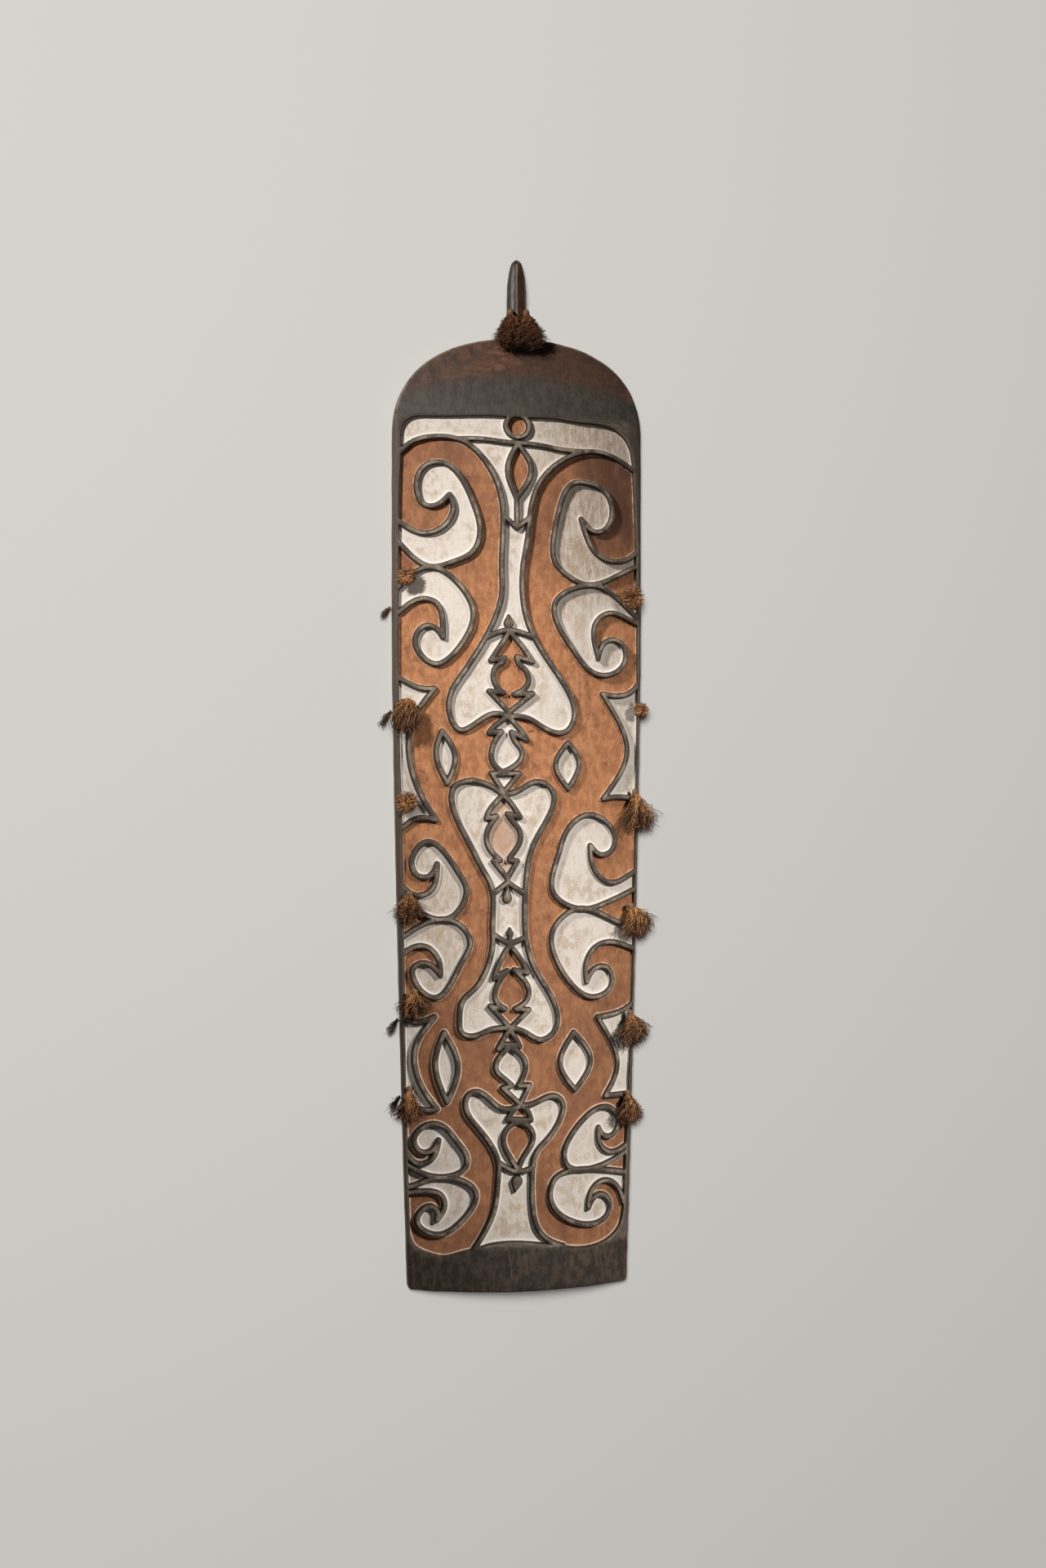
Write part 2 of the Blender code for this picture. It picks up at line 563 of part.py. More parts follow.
def make_grip():
    """The grip and its finger gap: an outline in the board's long section, extruded across and rounded.

    The rounding grows the outline all round, so the outline is drawn smaller by that much.
    """
    curve = bpy.data.curves.new("grip", "CURVE")
    curve.dimensions = "2D"
    curve.fill_mode = "BOTH"
    curve.bevel_depth = GRIP_ROUNDING
    curve.bevel_resolution = 0
    curve.extrude = GRIP_WIDTH / 2 - GRIP_ROUNDING
    half = GRIP_LENGTH / 2 - GRIP_ROUNDING
    gap = GRIP_GAP_LENGTH / 2 + GRIP_ROUNDING
    low = GRIP_LOW_Z + GRIP_ROUNDING
    bar_top = GRIP_LOW_Z + GRIP_BAR_THICKNESS - GRIP_ROUNDING
    right_half = [(0, low)] + [(half - inset, low + rise) for inset, rise in GRIP_HEEL]
    right_half += [(half, GRIP_ROOT_Z), (gap, GRIP_ROOT_Z)]
    right_half += [(gap - inset, bar_top + rise) for inset, rise in GRIP_GAP_CORNER]
    points = right_half + [(-y, z) for y, z in right_half[:0:-1]]
    spline = curve.splines.new("POLY")
    spline.points.add(len(points) - 1)
    for point, (y, z) in zip(spline.points, points):
        point.co = (y, z, 0, 1)
    spline.use_cyclic_u = True
    holder = bpy.data.objects.new("grip_curve", curve)
    bpy.context.scene.collection.objects.link(holder)
    holder.matrix_world = Matrix(((0, 0, 1, 0), (1, 0, 0, 0), (0, 1, 0, 0), (0, 0, 0, 1)))
    return applied(holder, "grip")


def make_spur():
    """The spur: a profile turned round its own axis, flattened a little and laid along Y."""
    profile = bmesh.new()
    (root_y, _), (tip_y, _) = SPUR_PROFILE[0], SPUR_PROFILE[-1]
    corners = [(0, tip_y)] + [(radius, y) for y, radius in SPUR_PROFILE[::-1]] + [(0, root_y)]
    made = [profile.verts.new((radius, 0, y)) for radius, y in corners]
    for upper, lower in zip(made[:-1], made[1:]):
        profile.edges.new((upper, lower))
    turned = object_from(profile, "spur_profile", CUTTERS)
    screw = turned.modifiers.new("turn", "SCREW")
    screw.steps = screw.render_steps = SPUR_SIDES
    screw.use_merge_vertices = True
    screw.merge_threshold = 0.0001
    turned.matrix_world = Matrix(((1, 0, 0, SPUR_X), (0, 0, 1, 0),
                                  (0, -SPUR_FLATNESS, 0, SPUR_Z), (0, 0, 0, 1)))
    bpy.context.view_layer.update()
    return applied(turned, "spur")


def cord_way(tassel):
    """Where a tassel's cord goes through the board: in under its head, and out where the hollow leaves room.

    The hole slants where the head lies further out than the hollow. It gives the two ends and the way between.
    """
    lean, bound = math.radians(tassel.lean_degrees), HEAD_SECTIONS[1][0] * tassel.length
    x = (tassel.head[0] + bound * math.sin(lean)) * MM
    y = (tassel.head[1] - bound * math.cos(lean)) * MM
    room = 2 * KNOT_RADIUS + KNOT_CLEARANCE
    reach = (half_width(y) - EDGE_LAND) * math.sqrt(1 - room / crown(y))
    inner = math.copysign(min(abs(x), reach), x)
    mouth = Vector((x, y, face_z(x, y) - MOUTH_DEPTH))
    back = Vector((inner, y, back_z(inner, y)))
    return mouth, back, (back - mouth).normalized()


def make_holes():
    mesh = bmesh.new()
    for tassel in TASSELS:
        mouth, back, way = cord_way(tassel)
        turn = way.to_track_quat("Z", "Y").to_matrix().to_4x4()
        bmesh.ops.create_cone(mesh, cap_ends=True, segments=HOLE_SIDES, radius1=HOLE_RADIUS,
                              radius2=HOLE_RADIUS, depth=HOLE_CUT_LENGTH,
                              matrix=Matrix.Translation((mouth + back) / 2) @ turn)
    for _, y, _ in EDGE_TUFTS:
        place = Matrix.Translation(tuft_root(y * MM)) @ Matrix.Rotation(math.pi / 2, 4, "Y")
        bmesh.ops.create_cone(mesh, cap_ends=True, segments=HOLE_SIDES, radius1=HOLE_RADIUS,
                              radius2=HOLE_RADIUS, depth=2 * TUFT_SOCKET_DEPTH, matrix=place)
    return object_from(mesh, "cord_holes", CUTTERS)


# ---------------------------------------------------------------- tassels

def lofted(name, rings, collection):
    """A closed body through rings of points, each of the same count."""
    mesh = bmesh.new()
    made = [[mesh.verts.new(p) for p in ring] for ring in rings]
    count = len(made[0])
    for low, high in zip(made[:-1], made[1:]):
        for i in range(count):
            j = (i + 1) % count
            mesh.faces.new((low[i], low[j], high[j], high[i]))
    mesh.faces.new(made[0][::-1])
    mesh.faces.new(made[-1])
    bmesh.ops.recalc_face_normals(mesh, faces=mesh.faces)
    return object_from(mesh, name, collection)


def section_rings(head, along, side, up, sections, count):
    """Rings of points round a flat bundle whose underside stays on the plane through its head.

    Each section is a distance along the bundle, half its width and its thickness there.
    """
    turns = [2 * math.pi * i / count for i in range(count)]
    lowest = max(-math.sin(t) for t in turns)
    rings = []
    for distance, half, thickness in sections:
        middle = head + along * distance + up * (thickness / 2)
        rings.append([middle + side * (half * math.cos(t)) + up * (thickness / 2 * math.sin(t) / lowest)
                      for t in turns])
    return rings


def fan_sections(length, spread, thickness):
    """A bound head that opens into a flat fan."""
    head = [(share * length, half, height) for share, half, height in HEAD_SECTIONS]
    return head + [(share * length, spread * wide, thickness * high) for share, wide, high in FAN_SECTIONS]


def surface_frame(x, y, lean):
    """Directions on the face at a place: the way a tassel hangs, to its side, and straight out."""
    up = Vector((-slope(x, y), 0, 1)).normalized()
    down = Vector((math.sin(lean), -math.cos(lean), 0))
    along = (down - up * down.dot(up)).normalized()
    return along, up.cross(along).normalized(), up


def cord_curve(name, points):
    curve = bpy.data.curves.new(name, "CURVE")
    curve.dimensions = "3D"
    curve.bevel_depth = CORD_RADIUS
    curve.bevel_resolution = 0
    curve.use_fill_caps = True
    spline = curve.splines.new("POLY")
    spline.points.add(len(points) - 1)
    for point, place in zip(spline.points, points):
        point.co = (*place, 1)
    holder = bpy.data.objects.new(name + "_curve", curve)
    bpy.context.scene.collection.objects.link(holder)
    return applied(holder, name)


def make_tassel(tassel):
    """A front tassel, tied through its hole with a knot behind the board."""
    x, y = tassel.head[0] * MM, tassel.head[1] * MM
    along, side, up = surface_frame(x, y, math.radians(tassel.lean_degrees))
    head = Vector((x, y, face_z(x, y))) + up * TASSEL_LIFT
    length, spread = tassel.length * MM, tassel.spread * MM
    thickness = min(0.010, 0.006 + length * 0.06)
    sections = fan_sections(length, spread, thickness)
    body = lofted(tassel.name, section_rings(head, along, side, up, sections, FAN_SIDES), PARTS)
    mouth, back, way = cord_way(tassel)
    bound_share, _, bound_thickness = HEAD_SECTIONS[1]
    eye = head + along * (bound_share * length) + up * (bound_thickness / 2)
    hollow = Vector((2 * crown(back.y) * back.x / (half_width(back.y) - EDGE_LAND) ** 2, 0, 1)).normalized()
    knot = back + way * ((KNOT_RADIUS + CONTACT_GAP) / -way.dot(hollow))
    join(body, cord_curve(tassel.name + "_cord", [eye, mouth, knot]))
    join(body, make_knot(tassel.name, knot))


def make_knot(name, place):
    mesh = bmesh.new()
    bmesh.ops.create_uvsphere(mesh, u_segments=6, v_segments=3, radius=KNOT_RADIUS,
                              matrix=Matrix.Translation(place))
    return object_from(mesh, name + "_knot", CUTTERS)


def tuft_root(y):
    """The middle of the left side face at y."""
    return Vector((-half_width(y), y, THICKNESS / 2))


def make_edge_tuft(name, y, length):
    """A tuft pegged into the left side face, hanging down the board along its edge."""
    root = tuft_root(y * MM)
    along = Vector((-0.30, -1, 0)).normalized()
    side = Vector((0, 0, 1))
    up = along.cross(side).normalized()
    up = up if up.x < 0 else -up
    head = root + Vector((-0.0012, 0.006, 0))
    sections = fan_sections(length * MM, TUFT_SPREAD, TUFT_THICKNESS)
    body = lofted(name, section_rings(head, along, side, up, sections, FAN_SIDES), PARTS)
    inner = root + Vector((TUFT_SOCKET_DEPTH - 0.001, 0, 0))
    join(body, cord_curve(name + "_cord", [inner, root + Vector((-0.005, 0.001, 0))]))


def make_spur_bundle(name, side_sign):
    """A bundle of curly fibre with its bound head against the spur, lying over the end of the board."""
    head = Vector((SPUR_X + side_sign * 0.0125, 0.838, SPUR_Z + 0.0165))
    along = Vector((side_sign * 0.34, -1, 0.10)).normalized()
    up = Vector((0, 0.10, 1)).normalized()
    side = up.cross(along).normalized()
    sections = [(share * BUNDLE_LENGTH, half, thickness) for share, half, thickness in BUNDLE_SECTIONS]
    return lofted(name, section_rings(head, along, side, up, sections, BUNDLE_SIDES), PARTS)


# ---------------------------------------------------------------- helpers

def object_from(mesh, name, collection):
    data = bpy.data.meshes.new(name)
    mesh.to_mesh(data)
    mesh.free()
    made = bpy.data.objects.new(name, data)
    collection.objects.link(made)
    return made


def applied(holder, name):
    """A cutter mesh of the holder's evaluated shape, with caps welded and its place applied."""
    graph = bpy.context.evaluated_depsgraph_get()
    data = bpy.data.meshes.new_from_object(holder.evaluated_get(graph))
    mesh = bmesh.new()
    mesh.from_mesh(data)
    mesh.transform(holder.matrix_world)
    bmesh.ops.remove_doubles(mesh, verts=mesh.verts, dist=1e-6)
    bmesh.ops.recalc_face_normals(mesh, faces=mesh.faces)
    bpy.data.objects.remove(holder)
    return object_from(mesh, name, CUTTERS)


def boolean(target, other, operation):
    modifier = target.modifiers.new(other.name, "BOOLEAN")
    modifier.operation = operation
    modifier.object = other


def join(target, other):
    boolean(target, other, "UNION")


def make_material(name, color, roughness):
    material = bpy.data.materials.new(name)
    material.use_nodes = True
    shader = material.node_tree.nodes["Principled BSDF"]
    shader.inputs["Base Color"].default_value = (*color, 1)
    shader.inputs["Roughness"].default_value = roughness
    material.diffuse_color = (*color, 1)
    return material


def new_collection(name):
    collection = bpy.data.collections.new(name)
    bpy.context.scene.collection.children.link(collection)
    return collection


for old in list(bpy.data.objects):
    bpy.data.objects.remove(old, do_unlink=True)
PARTS = new_collection("carved_wooden_shield")
CUTTERS = new_collection("cutters")

board = make_board()
join(board, make_grip())
join(board, make_spur())
boolean(board, make_holes(), "DIFFERENCE")
for tassel in TASSELS:
    make_tassel(tassel)
for tuft in EDGE_TUFTS:
    make_edge_tuft(*tuft)
make_spur_bundle("spur_bundle_left", -1)
make_spur_bundle("spur_bundle_right", 1)

for part in PARTS.objects:
    color, roughness = WOOD_LOOK if part is board else FIBRE_LOOK
    part.data.materials.append(make_material(part.name, color, roughness))
for cutter in CUTTERS.objects:
    cutter.hide_render = True
    cutter.display_type = "WIRE"
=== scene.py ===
"""The looks of a tall carved plank shield that lies on its back.

X runs across the board, Y along it towards the spur, and Z up out of the carved face. The pattern is
given in millimetres from the centre line and from mid length, as a carver marks it out.
"""

from __future__ import annotations

import json
import logging
import math
from dataclasses import dataclass, replace
from enum import Enum
from typing import Iterable, Sequence

import bmesh
import bpy
import numpy as np
from mathutils import Matrix, Vector, noise
from mathutils.geometry import delaunay_2d_cdt

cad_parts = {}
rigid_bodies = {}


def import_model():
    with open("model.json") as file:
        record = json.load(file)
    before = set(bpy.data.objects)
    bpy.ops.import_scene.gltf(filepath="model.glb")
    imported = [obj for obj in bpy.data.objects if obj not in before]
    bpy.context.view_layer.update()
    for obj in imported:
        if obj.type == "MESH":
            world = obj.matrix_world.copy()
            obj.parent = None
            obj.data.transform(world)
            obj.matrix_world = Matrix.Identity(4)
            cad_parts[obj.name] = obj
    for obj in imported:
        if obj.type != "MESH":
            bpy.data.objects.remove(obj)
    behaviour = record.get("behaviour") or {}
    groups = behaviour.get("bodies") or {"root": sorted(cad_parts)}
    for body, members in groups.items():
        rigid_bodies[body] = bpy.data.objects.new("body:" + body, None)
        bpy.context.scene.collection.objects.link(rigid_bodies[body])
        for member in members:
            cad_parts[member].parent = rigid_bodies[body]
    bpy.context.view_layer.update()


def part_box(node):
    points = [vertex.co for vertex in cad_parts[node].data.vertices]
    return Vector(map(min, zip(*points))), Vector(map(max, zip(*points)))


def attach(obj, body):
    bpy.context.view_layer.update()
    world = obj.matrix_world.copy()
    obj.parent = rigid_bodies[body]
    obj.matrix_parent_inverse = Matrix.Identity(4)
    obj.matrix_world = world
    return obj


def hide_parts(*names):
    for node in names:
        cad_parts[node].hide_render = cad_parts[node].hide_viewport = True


LOG = logging.getLogger("carved_shield")
MM = 0.001
Spot = tuple[float, float]
Line = tuple[Spot, ...]
Array = np.ndarray
Reals = np.ndarray | float
Object = bpy.types.Object
Material = bpy.types.Material


class Paint(Enum):
    """What fills a sunk field, as the share of white lime in its ochre."""

    OCHRE = 0.0
    PINK = 0.45
    LIME = 1.0


# ---------------------------------------------------------------- plan geometry

def lengths(ways: Array) -> Array:
    """Measures vectors, one to a row."""
    return np.linalg.norm(ways, axis=1)


def directions(path: Array) -> Array:
    """Gives the way onward at each point of a path, one unit long."""
    way = np.gradient(path, axis=0)
    return way / lengths(way)[:, None]


def around(count: int) -> Array:
    """Spaces angles evenly round a circle."""
    return np.linspace(0, 2 * math.pi, count, endpoint=False)


def smooth_curve(points: Sequence[Spot], step: float = 4.0) -> Array:
    """Draws the natural cubic spline through points.

    Args:
        points: Places on the board in millimetres.
        step: The spacing of the result, in millimetres.

    Returns:
        Points along the curve, in metres.
    """
    knots = np.array(points, float)
    if len(knots) < 3:
        return knots * MM
    spans = lengths(np.diff(knots, axis=0))
    gaps = spans ** 0.75
    count = len(knots)
    matrix = np.eye(count)
    right = np.zeros((count, 2))
    for i in range(1, count - 1):
        matrix[i, i - 1:i + 2] = gaps[i - 1], 2 * (gaps[i - 1] + gaps[i]), gaps[i]
        right[i] = 6 * ((knots[i + 1] - knots[i]) / gaps[i] - (knots[i] - knots[i - 1]) / gaps[i - 1])
    bend = np.linalg.solve(matrix, right)
    pieces = []
    for i, gap in enumerate(gaps):
        u = np.linspace(0, gap, max(2, math.ceil(spans[i] / step)), endpoint=False)[:, None]
        pieces.append((bend[i] * (gap - u) ** 3 + bend[i + 1] * u ** 3) / (6 * gap)
                      + (knots[i] / gap - bend[i] * gap / 6) * (gap - u)
                      + (knots[i + 1] / gap - bend[i + 1] * gap / 6) * u)
    return np.vstack(pieces + [knots[-1:]]) * MM


def distance_to(points: Array, start: Array, end: Array) -> Array:
    """Measures how far points are from one straight piece.

    Args:
        points: Plan points.
        start: One end of the piece.
        end: Its other end.

    Returns:
        One distance for each point.
    """
    along = end - start
    length2 = max(float(along @ along), 1e-12)
    t = np.clip((points - start) @ along / length2, 0, 1)
    return lengths(points - start - t[:, None] * along)


def thinned(loop: Array, tolerance: float, longest: float) -> Array:
    """Thins a dense closed loop, and keeps its corners.

    Args:
        loop: The dense loop.
        tolerance: How far the thinned loop may stray from the dense one.
        longest: The longest edge that may be left.

    Returns:
        The points that are kept.
    """
    far = int(np.argmax(lengths(loop - loop[0])))
    keep = {0, far}
    closed = np.vstack([loop, loop[:1]])
    spans = [(0, far), (far, len(loop))]
    while spans:
        low, high = spans.pop()
        if high - low < 2:
            continue
        away = distance_to(closed[low + 1:high], closed[low], closed[high])
        worst = int(np.argmax(away))
        if away[worst] > tolerance:
            middle = low + 1 + worst
            keep.add(middle)
            spans += [(low, middle), (middle, high)]
    run = np.concatenate([[0], np.cumsum(lengths(np.diff(closed, axis=0)))])
    corners = sorted(keep) + [len(loop)]
    kept: list[int] = []
    for low, high in zip(corners[:-1], corners[1:]):
        parts = max(1, math.ceil((run[high] - run[low]) / longest))
        marks = run[low] + (run[high] - run[low]) * np.arange(parts) / parts
        kept += [low] + [int(np.searchsorted(run, mark)) for mark in marks[1:]]
    return loop[sorted(set(kept) - {len(loop)})]


def inset(loop: Array, depth: Reals) -> Array:
    """Moves a counter-clockwise loop's points inwards, all by one depth or each by its own.

    Args:
        loop: The loop's points.
        depth: How far to move them.

    Returns:
        The moved points.
    """
    before = loop - np.roll(loop, 1, axis=0)
    after = np.roll(loop, -1, axis=0) - loop
    ways = [np.stack([-way[:, 1], way[:, 0]], axis=1) / lengths(way)[:, None] for way in (before, after)]
    inward = ways[0] + ways[1]
    return loop + np.reshape(depth, (-1, 1)) * 2 * inward / (lengths(inward)[:, None] ** 2)


# ---------------------------------------------------------------- the plank

@dataclass(frozen=True)
class Plank:
    """The board before it is carved: its plan, its bow and its two faces."""

    foot_y: float
    half_width: float
    top_z: float
    thickness: float = 0.024
    dome_top_y: float = 0.790
    shoulder_y: float = 0.600
    foot_narrowing: float = 0.0275
    taper_from_y: float = 0.25
    taper_power: float = 1.3
    dome_powers: tuple[float, float] = (2.2, 2.6)
    crown_at_dome: float = 0.014
    crown_falls_y: tuple[float, float] = (0.50, 0.80)
    edge_land: float = 0.008
    corner_radius: float = 0.006

    @classmethod
    def from_frame(cls) -> Plank:
        """Takes the board's foot, width and height from the frame."""
        low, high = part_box("board")
        return cls(foot_y=low.y, half_width=high.x, top_z=high.z)

    def half_width_at(self, y: Reals) -> Reals:
        """Gives half the board's width at y, without the rounding of the dome."""
        drop = np.clip((self.taper_from_y - y) / (self.taper_from_y - self.foot_y), 0, 1) ** self.taper_power
        return self.half_width - self.foot_narrowing * drop

    def crown(self, y: Reals) -> Reals:
        """Gives how far the middle bows up above the edges.

        Args:
            y: Places along the board.

        Returns:
            A height for each place.
        """
        low, high = self.crown_falls_y
        t = np.clip((y - low) / (high - low), 0, 1)
        full = self.top_z - self.thickness
        return full + (self.crown_at_dome - full) * t * t * (3 - 2 * t)

    def face_z(self, x: Reals, y: Reals) -> Reals:
        """Gives the height of the uncarved face."""
        return self.thickness + self.crown(y) * (1 - (x / self.half_width_at(y)) ** 2)

    def back_z(self, x: Reals, y: Reals) -> Reals:
        """Gives the height of the hollowed back."""
        return np.maximum(self.crown(y) * (1 - (x / (self.half_width_at(y) - self.edge_land)) ** 2), 0)

    def outward(self, x: float, y: float) -> Vector:
        """Gives the direction straight out of the face."""
        return Vector((2 * self.crown(y) * x / self.half_width_at(y) ** 2, 0, 1)).normalized()

    def outline(self, step: float = 0.007) -> Array:
        """Draws the plan.

        Args:
            step: The spacing of its points.

        Returns:
            The plan's points, counter-clockwise from the foot's left corner.
        """
        radius = self.corner_radius
        foot_half = self.half_width_at(self.foot_y)
        turns = np.linspace(0, math.pi / 2, 5)
        foot = np.linspace(-foot_half + radius, foot_half - radius, round(2 * foot_half / step))
        corner = [(foot_half - radius + radius * math.sin(t), self.foot_y + radius - radius * math.cos(t))
                  for t in turns[1:]]
        sides = np.linspace(self.foot_y + radius, self.shoulder_y,
                            round((self.shoulder_y - self.foot_y) / step))
        right = corner + [(self.half_width_at(y), y) for y in sides[1:]]
        across, upward = self.dome_powers
        height = self.dome_top_y - self.shoulder_y
        arch = [(self.half_width * max(math.cos(t), 0) ** (2 / across),
                 self.shoulder_y + height * math.sin(t) ** (2 / upward))
                for t in np.linspace(0, math.pi / 2, 44)[1:]]
        half = thinned_by_length(np.array(right + arch), step * 0.5)
        left = half[:-1][::-1] * (-1, 1)
        return np.vstack([[(x, self.foot_y) for x in foot], half, left])


def thinned_by_length(points: Array, shortest: float) -> Array:
    """Drops points that follow the last kept one too closely.

    Args:
        points: Points along a line.
        shortest: The shortest step that is kept.

    Returns:
        The points that are kept, with both ends.
    """
    kept = [points[0]]
    for point in points[1:-1]:
        if np.linalg.norm(point - kept[-1]) >= shortest:
            kept.append(point)
    return np.array(kept + [points[-1]])


# ---------------------------------------------------------------- the pattern

@dataclass(frozen=True)
class Scroll:
    """A comma-shaped field: the ridge round its back to the cusp, and the ridge on from there to the rim."""

    back: Line
    hollow: Line

    def lines(self) -> list[Array]:
        """Draws the two ridges."""
        return [smooth_curve(self.back), smooth_curve(self.back[-1:] + self.hollow)]


@dataclass(frozen=True)
class Figure:
    """A stylised figure, drawn as single ridges: its barbs and toes straight, its roof and body curved."""

    straight: tuple[Line, ...]
    curved: tuple[Line, ...]

    def lines(self) -> list[Array]:
        """Draws the figure's ridges."""
        return [np.array(line) * MM for line in self.straight] + [smooth_curve(line) for line in self.curved]


SCROLLS = (
    Scroll(back=((-221, 418), (-166, 372), (-125, 380), (-91, 398), (-78, 434), (-87, 478), (-128, 551),
                 (-157, 560), (-184, 542), (-176, 484), (-153, 483), (-132, 501)),
           hollow=((-125, 478), (-139, 447), (-172, 432), (-198, 439), (-221, 456))),
    Scroll(back=((-221, 334), (-166, 371), (-101, 320), (-90, 282), (-107, 237), (-155, 196), (-180, 211),
                 (-191, 242), (-174, 265), (-155, 260), (-143, 244)),
           hollow=((-144, 278), (-153, 304), (-175, 314), (-197, 308), (-219, 290))),
    Scroll(back=((220, 379), (195, 368), (127, 342), (88, 354), (59, 382), (62, 455), (92, 524), (122, 527),
                 (153, 516), (170, 487), (160, 448), (135, 439), (109, 461)),
           hollow=((135, 404), (165, 388), (199, 391), (220, 404))),
    Scroll(back=((224, 285), (207, 299), (156, 336), (124, 341), (64, 315), (58, 287), (98, 217),
                 (127, 186), (155, 178), (189, 192), (199, 220), (182, 242), (156, 238), (143, 209)),
           hollow=((138, 273), (165, 292), (192, 288), (222, 275))),
    Scroll(back=((-211, -220), (-187, -248), (-133, -262), (-102, -214), (-115, -181), (-169, -124),
                 (-191, -142), (-197, -167), (-186, -186), (-166, -186), (-153, -164)),
           hollow=((-163, -211), (-183, -221), (-200, -217), (-211, -207))),
    Scroll(back=((-215, -299), (-163, -267), (-128, -266), (-101, -288), (-96, -310), (-111, -343),
                 (-154, -405), (-178, -396), (-194, -370), (-194, -353), (-174, -343), (-147, -365)),
           hollow=((-150, -339), (-169, -315), (-188, -313), (-213, -328))),
    Scroll(back=((218, -214), (145, -242), (108, -247), (55, -215), (65, -150), (81, -106), (126, -76),
                 (177, -116), (168, -144), (147, -149), (127, -132)),
           hollow=((130, -163), (148, -191), (173, -201), (197, -193), (220, -181))),
    Scroll(back=((222, -285), (191, -276), (124, -248), (92, -249), (65, -269), (52, -300), (108, -399),
                 (139, -408), (164, -397), (172, -377), (160, -355), (137, -356), (120, -380)),
           hollow=((118, -354), (132, -322), (162, -309), (191, -314), (220, -325))),
    Scroll(back=((-204, -709), (-158, -728), (-105, -712), (-102, -690), (-118, -665), (-140, -639),
                 (-161, -633), (-185, -647), (-192, -668), (-178, -685), (-160, -679), (-150, -662)),
           hollow=((-156, -687), (-171, -704), (-189, -705), (-204, -691))),
    Scroll(back=((-207, -750), (-186, -743), (-157, -730), (-100, -739), (-85, -758), (-115, -812),
                 (-147, -832), (-172, -828), (-187, -808), (-164, -782), (-153, -790), (-153, -806)),
           hollow=((-140, -782), (-147, -760), (-190, -757), (-207, -761))),
    Scroll(back=((204, -695), (143, -718), (83, -712), (77, -687), (89, -659), (143, -612), (171, -615),
                 (185, -640), (171, -664), (153, -661), (144, -647)),
           hollow=((146, -674), (165, -693), (189, -691), (206, -681))),
    Scroll(back=((204, -735), (91, -721), (59, -734), (50, -764), (66, -797), (140, -821), (165, -804),
                 (166, -782), (148, -769), (135, -774), (124, -792)),
           hollow=((126, -770), (140, -750), (161, -745), (184, -760), (196, -789))),
)

FIGURES = (
    Figure(straight=(((-26, 254), (-40, 231), (-59, 202), (-34, 207)),
                     ((-23, 252), (-3, 228), (17, 200), (-12, 209)),
                     ((-36, 144), (-62, 147), (-26, 109)), ((-17, 141), (17, 143), (-26, 109))),
           curved=(((-34, 207), (-37, 199), (-47, 193), (-54, 180), (-53, 165), (-46, 152), (-36, 144)),
                   ((-12, 209), (-9, 197), (2, 187), (9, 173), (8, 160), (0, 150), (-17, 141)))),
    Figure(straight=(((-62, 72), (-40, 74)), ((7, 59), (-22, 73)), ((-36, -2), (-58, -1), (-36, -35)),
                     ((-36, -2), (-7, -1), (-36, -35))),
           curved=(((-29, 102), (-43, 91), (-54, 82), (-62, 72)),
                   ((-29, 102), (-16, 89), (-5, 76), (7, 59)),
                   ((-40, 74), (-49, 61), (-57, 42), (-57, 24), (-50, 11), (-38, 2)),
                   ((-22, 73), (-17, 59), (-8, 48), (-2, 34), (-8, 20), (-20, 10), (-36, 2)))),
    Figure(straight=(((-67, -82), (-49, -78)), ((-6, -80), (-29, -74)),
                     ((-42, -157), (-54, -159), (-29, -190)), ((-25, -157), (-11, -159), (-29, -190))),
           curved=(((-38, -40), (-49, -52), (-60, -66), (-67, -82)),
                   ((-38, -40), (-25, -52), (-17, -63), (-6, -80)),
                   ((-49, -78), (-58, -91), (-66, -110), (-65, -128), (-55, -145), (-42, -157)),
                   ((-29, -74), (-19, -88), (-8, -102), (-5, -119), (-11, -134), (-25, -153)))),
    Figure(straight=(((-53, -370), (-38, -361), (-29, -356)), ((8, -360), (-17, -355)),
                     ((-33, -425), (-60, -420), (-24, -460)), ((-15, -425), (10, -427), (-24, -460))),
           curved=(((-25, -310), (-39, -333), (-47, -351), (-53, -370)),
                   ((-25, -310), (-7, -333), (2, -348), (8, -360)),
                   ((-29, -356), (-40, -370), (-50, -389), (-51, -407), (-44, -418), (-33, -425)),
                   ((-17, -355), (-3, -369), (8, -385), (9, -403), (0, -416), (-15, -425)))),
    Figure(straight=(((-21, -563), (-38, -567), (-6, -597)), ((-9, -563), (11, -563), (-6, -597))),
           curved=(((-26, -462), (-36, -479), (-46, -497)), ((-26, -462), (-14, -479), (-7, -493)),
                   ((-46, -497), (-38, -491), (-24, -489), (-7, -493)),
                   ((-25, -493), (-39, -506), (-49, -522), (-49, -536), (-38, -548), (-21, -563)),
                   ((-25, -493), (-8, -505), (3, -521), (3, -537), (-2, -550), (-9, -563)))),
    Figure(straight=(((-29, -624), (14, -626)),),
           curved=(((-6, -598), (-20, -610), (-29, -624)), ((-6, -598), (8, -610), (14, -626)),
                   ((-9, -628), (-25, -636), (-36, -654), (-34, -674), (-23, -695), (-10, -716)),
                   ((-9, -628), (8, -636), (18, -654), (13, -673), (1, -691), (-10, -716)),
                   ((-45, -701), (-28, -712), (-11, -718), (6, -716), (19, -708)))),
)

